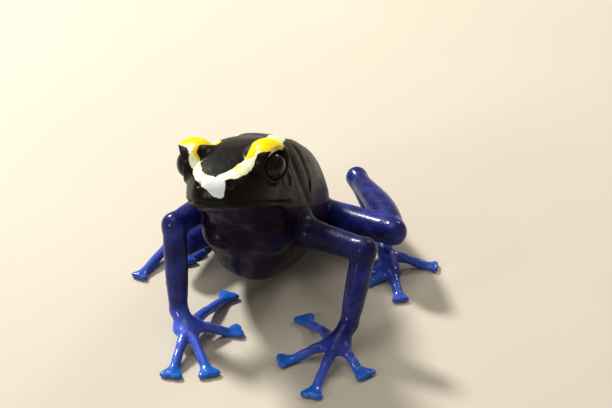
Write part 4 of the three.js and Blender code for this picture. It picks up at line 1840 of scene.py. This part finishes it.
@dataclass
class Studio:
    """Floor, soft light and camera.

    Attributes:
        camera_place: In millimetres in the frog's own frame.
        camera_down: How far the camera looks down, in degrees.
        clip: Nearest and furthest distance that it sees, in metres.
        floor_half: Half the floor's width, in metres.
        aim: What the lamps point at, in millimetres in the frog's own frame.
    """

    camera_place: Array = field(default_factory=lambda: vec(4.88, -293.04, 194.46))
    camera_down: float = 31.0
    lens: float = 176.47
    sensor: float = 36.0
    clip: tuple[float, float] = (0.01, 20.0)
    floor_half: float = 1.5
    aim: Array = field(default_factory=lambda: vec(0.0, 8.0, 12.0))
    lamps: tuple[Lamp, ...] = (
        Lamp("key", (-0.16, 0.2, 0.23), 0.06, 1.8),
        Lamp("sky", (-0.1, -0.02, 0.5), 0.4, 0.8),
        Lamp("rim", (0.18, 0.2, 0.2), 0.08, 0.25),
        Lamp("window", (-0.3, -0.3, 0.16), 0.1, 0.55),
    )
    room: Shade = Shade(0.9, 0.86, 0.78)
    room_strength: float = 0.3

    def build(self, shift: Array) -> None:
        """Makes the floor, the lights and the camera.

        Args:
            shift: From the frog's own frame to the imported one, in millimetres.
        """
        self.floor()
        self.lights(Vector((self.aim + shift) * MILLIMETRE))
        self.daylight()
        self.camera(shift)

    def camera(self, shift: Array) -> None:
        """The camera at the photograph's viewing angle.

        Args:
            shift: From the frog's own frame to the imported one, in millimetres.
        """
        data = bpy.data.cameras.new("camera")
        data.lens = self.lens
        data.sensor_width = self.sensor
        data.clip_start, data.clip_end = self.clip
        made = bpy.data.objects.new("camera", data)
        made.location = (self.camera_place + shift) * MILLIMETRE
        made.rotation_euler = (math.radians(90.0 - self.camera_down), 0.0, 0.0)
        bpy.context.scene.collection.objects.link(made)
        bpy.context.scene.camera = made

    def floor(self) -> None:
        """A wide pale sheet."""
        corners = self.floor_half * vec(-1, -1, 0, 1, -1, 0, 1, 1, 0, -1, 1, 0).reshape(4, 3)
        made = mesh_object("floor", corners, np.array([[0, 1, 2, 3]]), FloorFinish().material())

    def lights(self, middle: Vector) -> None:
        """The soft boxes, round the middle of the frog.

        Args:
            middle: What they point at, in metres.
        """
        for lamp in self.lamps:
            data = bpy.data.lights.new(lamp.name, "AREA")
            data.shape = "DISK"
            data.size = lamp.size
            data.energy = lamp.power
            made = bpy.data.objects.new(lamp.name, data)
            made.location = middle + Vector(lamp.place)
            made.rotation_mode = "QUATERNION"
            made.rotation_quaternion = (middle - made.location).to_track_quat("-Z", "Y")
            bpy.context.scene.collection.objects.link(made)

    def daylight(self) -> None:
        """A pale room all round, with plain colours."""
        world = bpy.data.worlds.new("room")
        world.use_nodes = True
        sky = world.node_tree.nodes["Background"]
        sky.inputs["Color"].default_value = self.room.rgba()
        sky.inputs["Strength"].default_value = self.room_strength
        bpy.context.scene.world = world
        bpy.context.scene.view_settings.view_transform = "Standard"


def frame_shift(head: HeadForm, eyes: EyeForm) -> Array:
    """How the frog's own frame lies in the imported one, by the middle of each eye.

    Args:
        head: The head.
        eyes: The eyes in it.

    Returns:
        From the first to the second, in millimetres.
    """
    gaps = []
    for side in Side:
        low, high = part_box(f"eye_{side.letter}")
        gaps.append((np.array(low) + np.array(high)) / 2 / MILLIMETRE - eyes.centre(head, side))
    return np.mean(gaps, axis=0)


def main() -> None:
    """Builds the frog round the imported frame."""
    logging.basicConfig(level=logging.INFO, format="%(name)s: %(message)s")
    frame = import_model()
    head, trunk, eyes, limbs = HeadForm(), TrunkForm(), EyeForm(), LimbForm()
    shift = frame_shift(head, eyes)
    LOG.info("shift %s", np.round(shift, 4))
    Studio().build(shift)
    skin = Skin(head, trunk, eyes, limbs).build(shift)
    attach(skin, BODY)
    flesh = [name for name in frame["nodes"] if not name.startswith("eye_")]
    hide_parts(*flesh)
    for side in Side:
        ball = Eyeball(eyes, head).build(side, shift)
        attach(ball, BODY)
        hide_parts(f"eye_{side.letter}")
        LOG.info("%s built", ball.name)


if __name__ == "__main__":
    main()
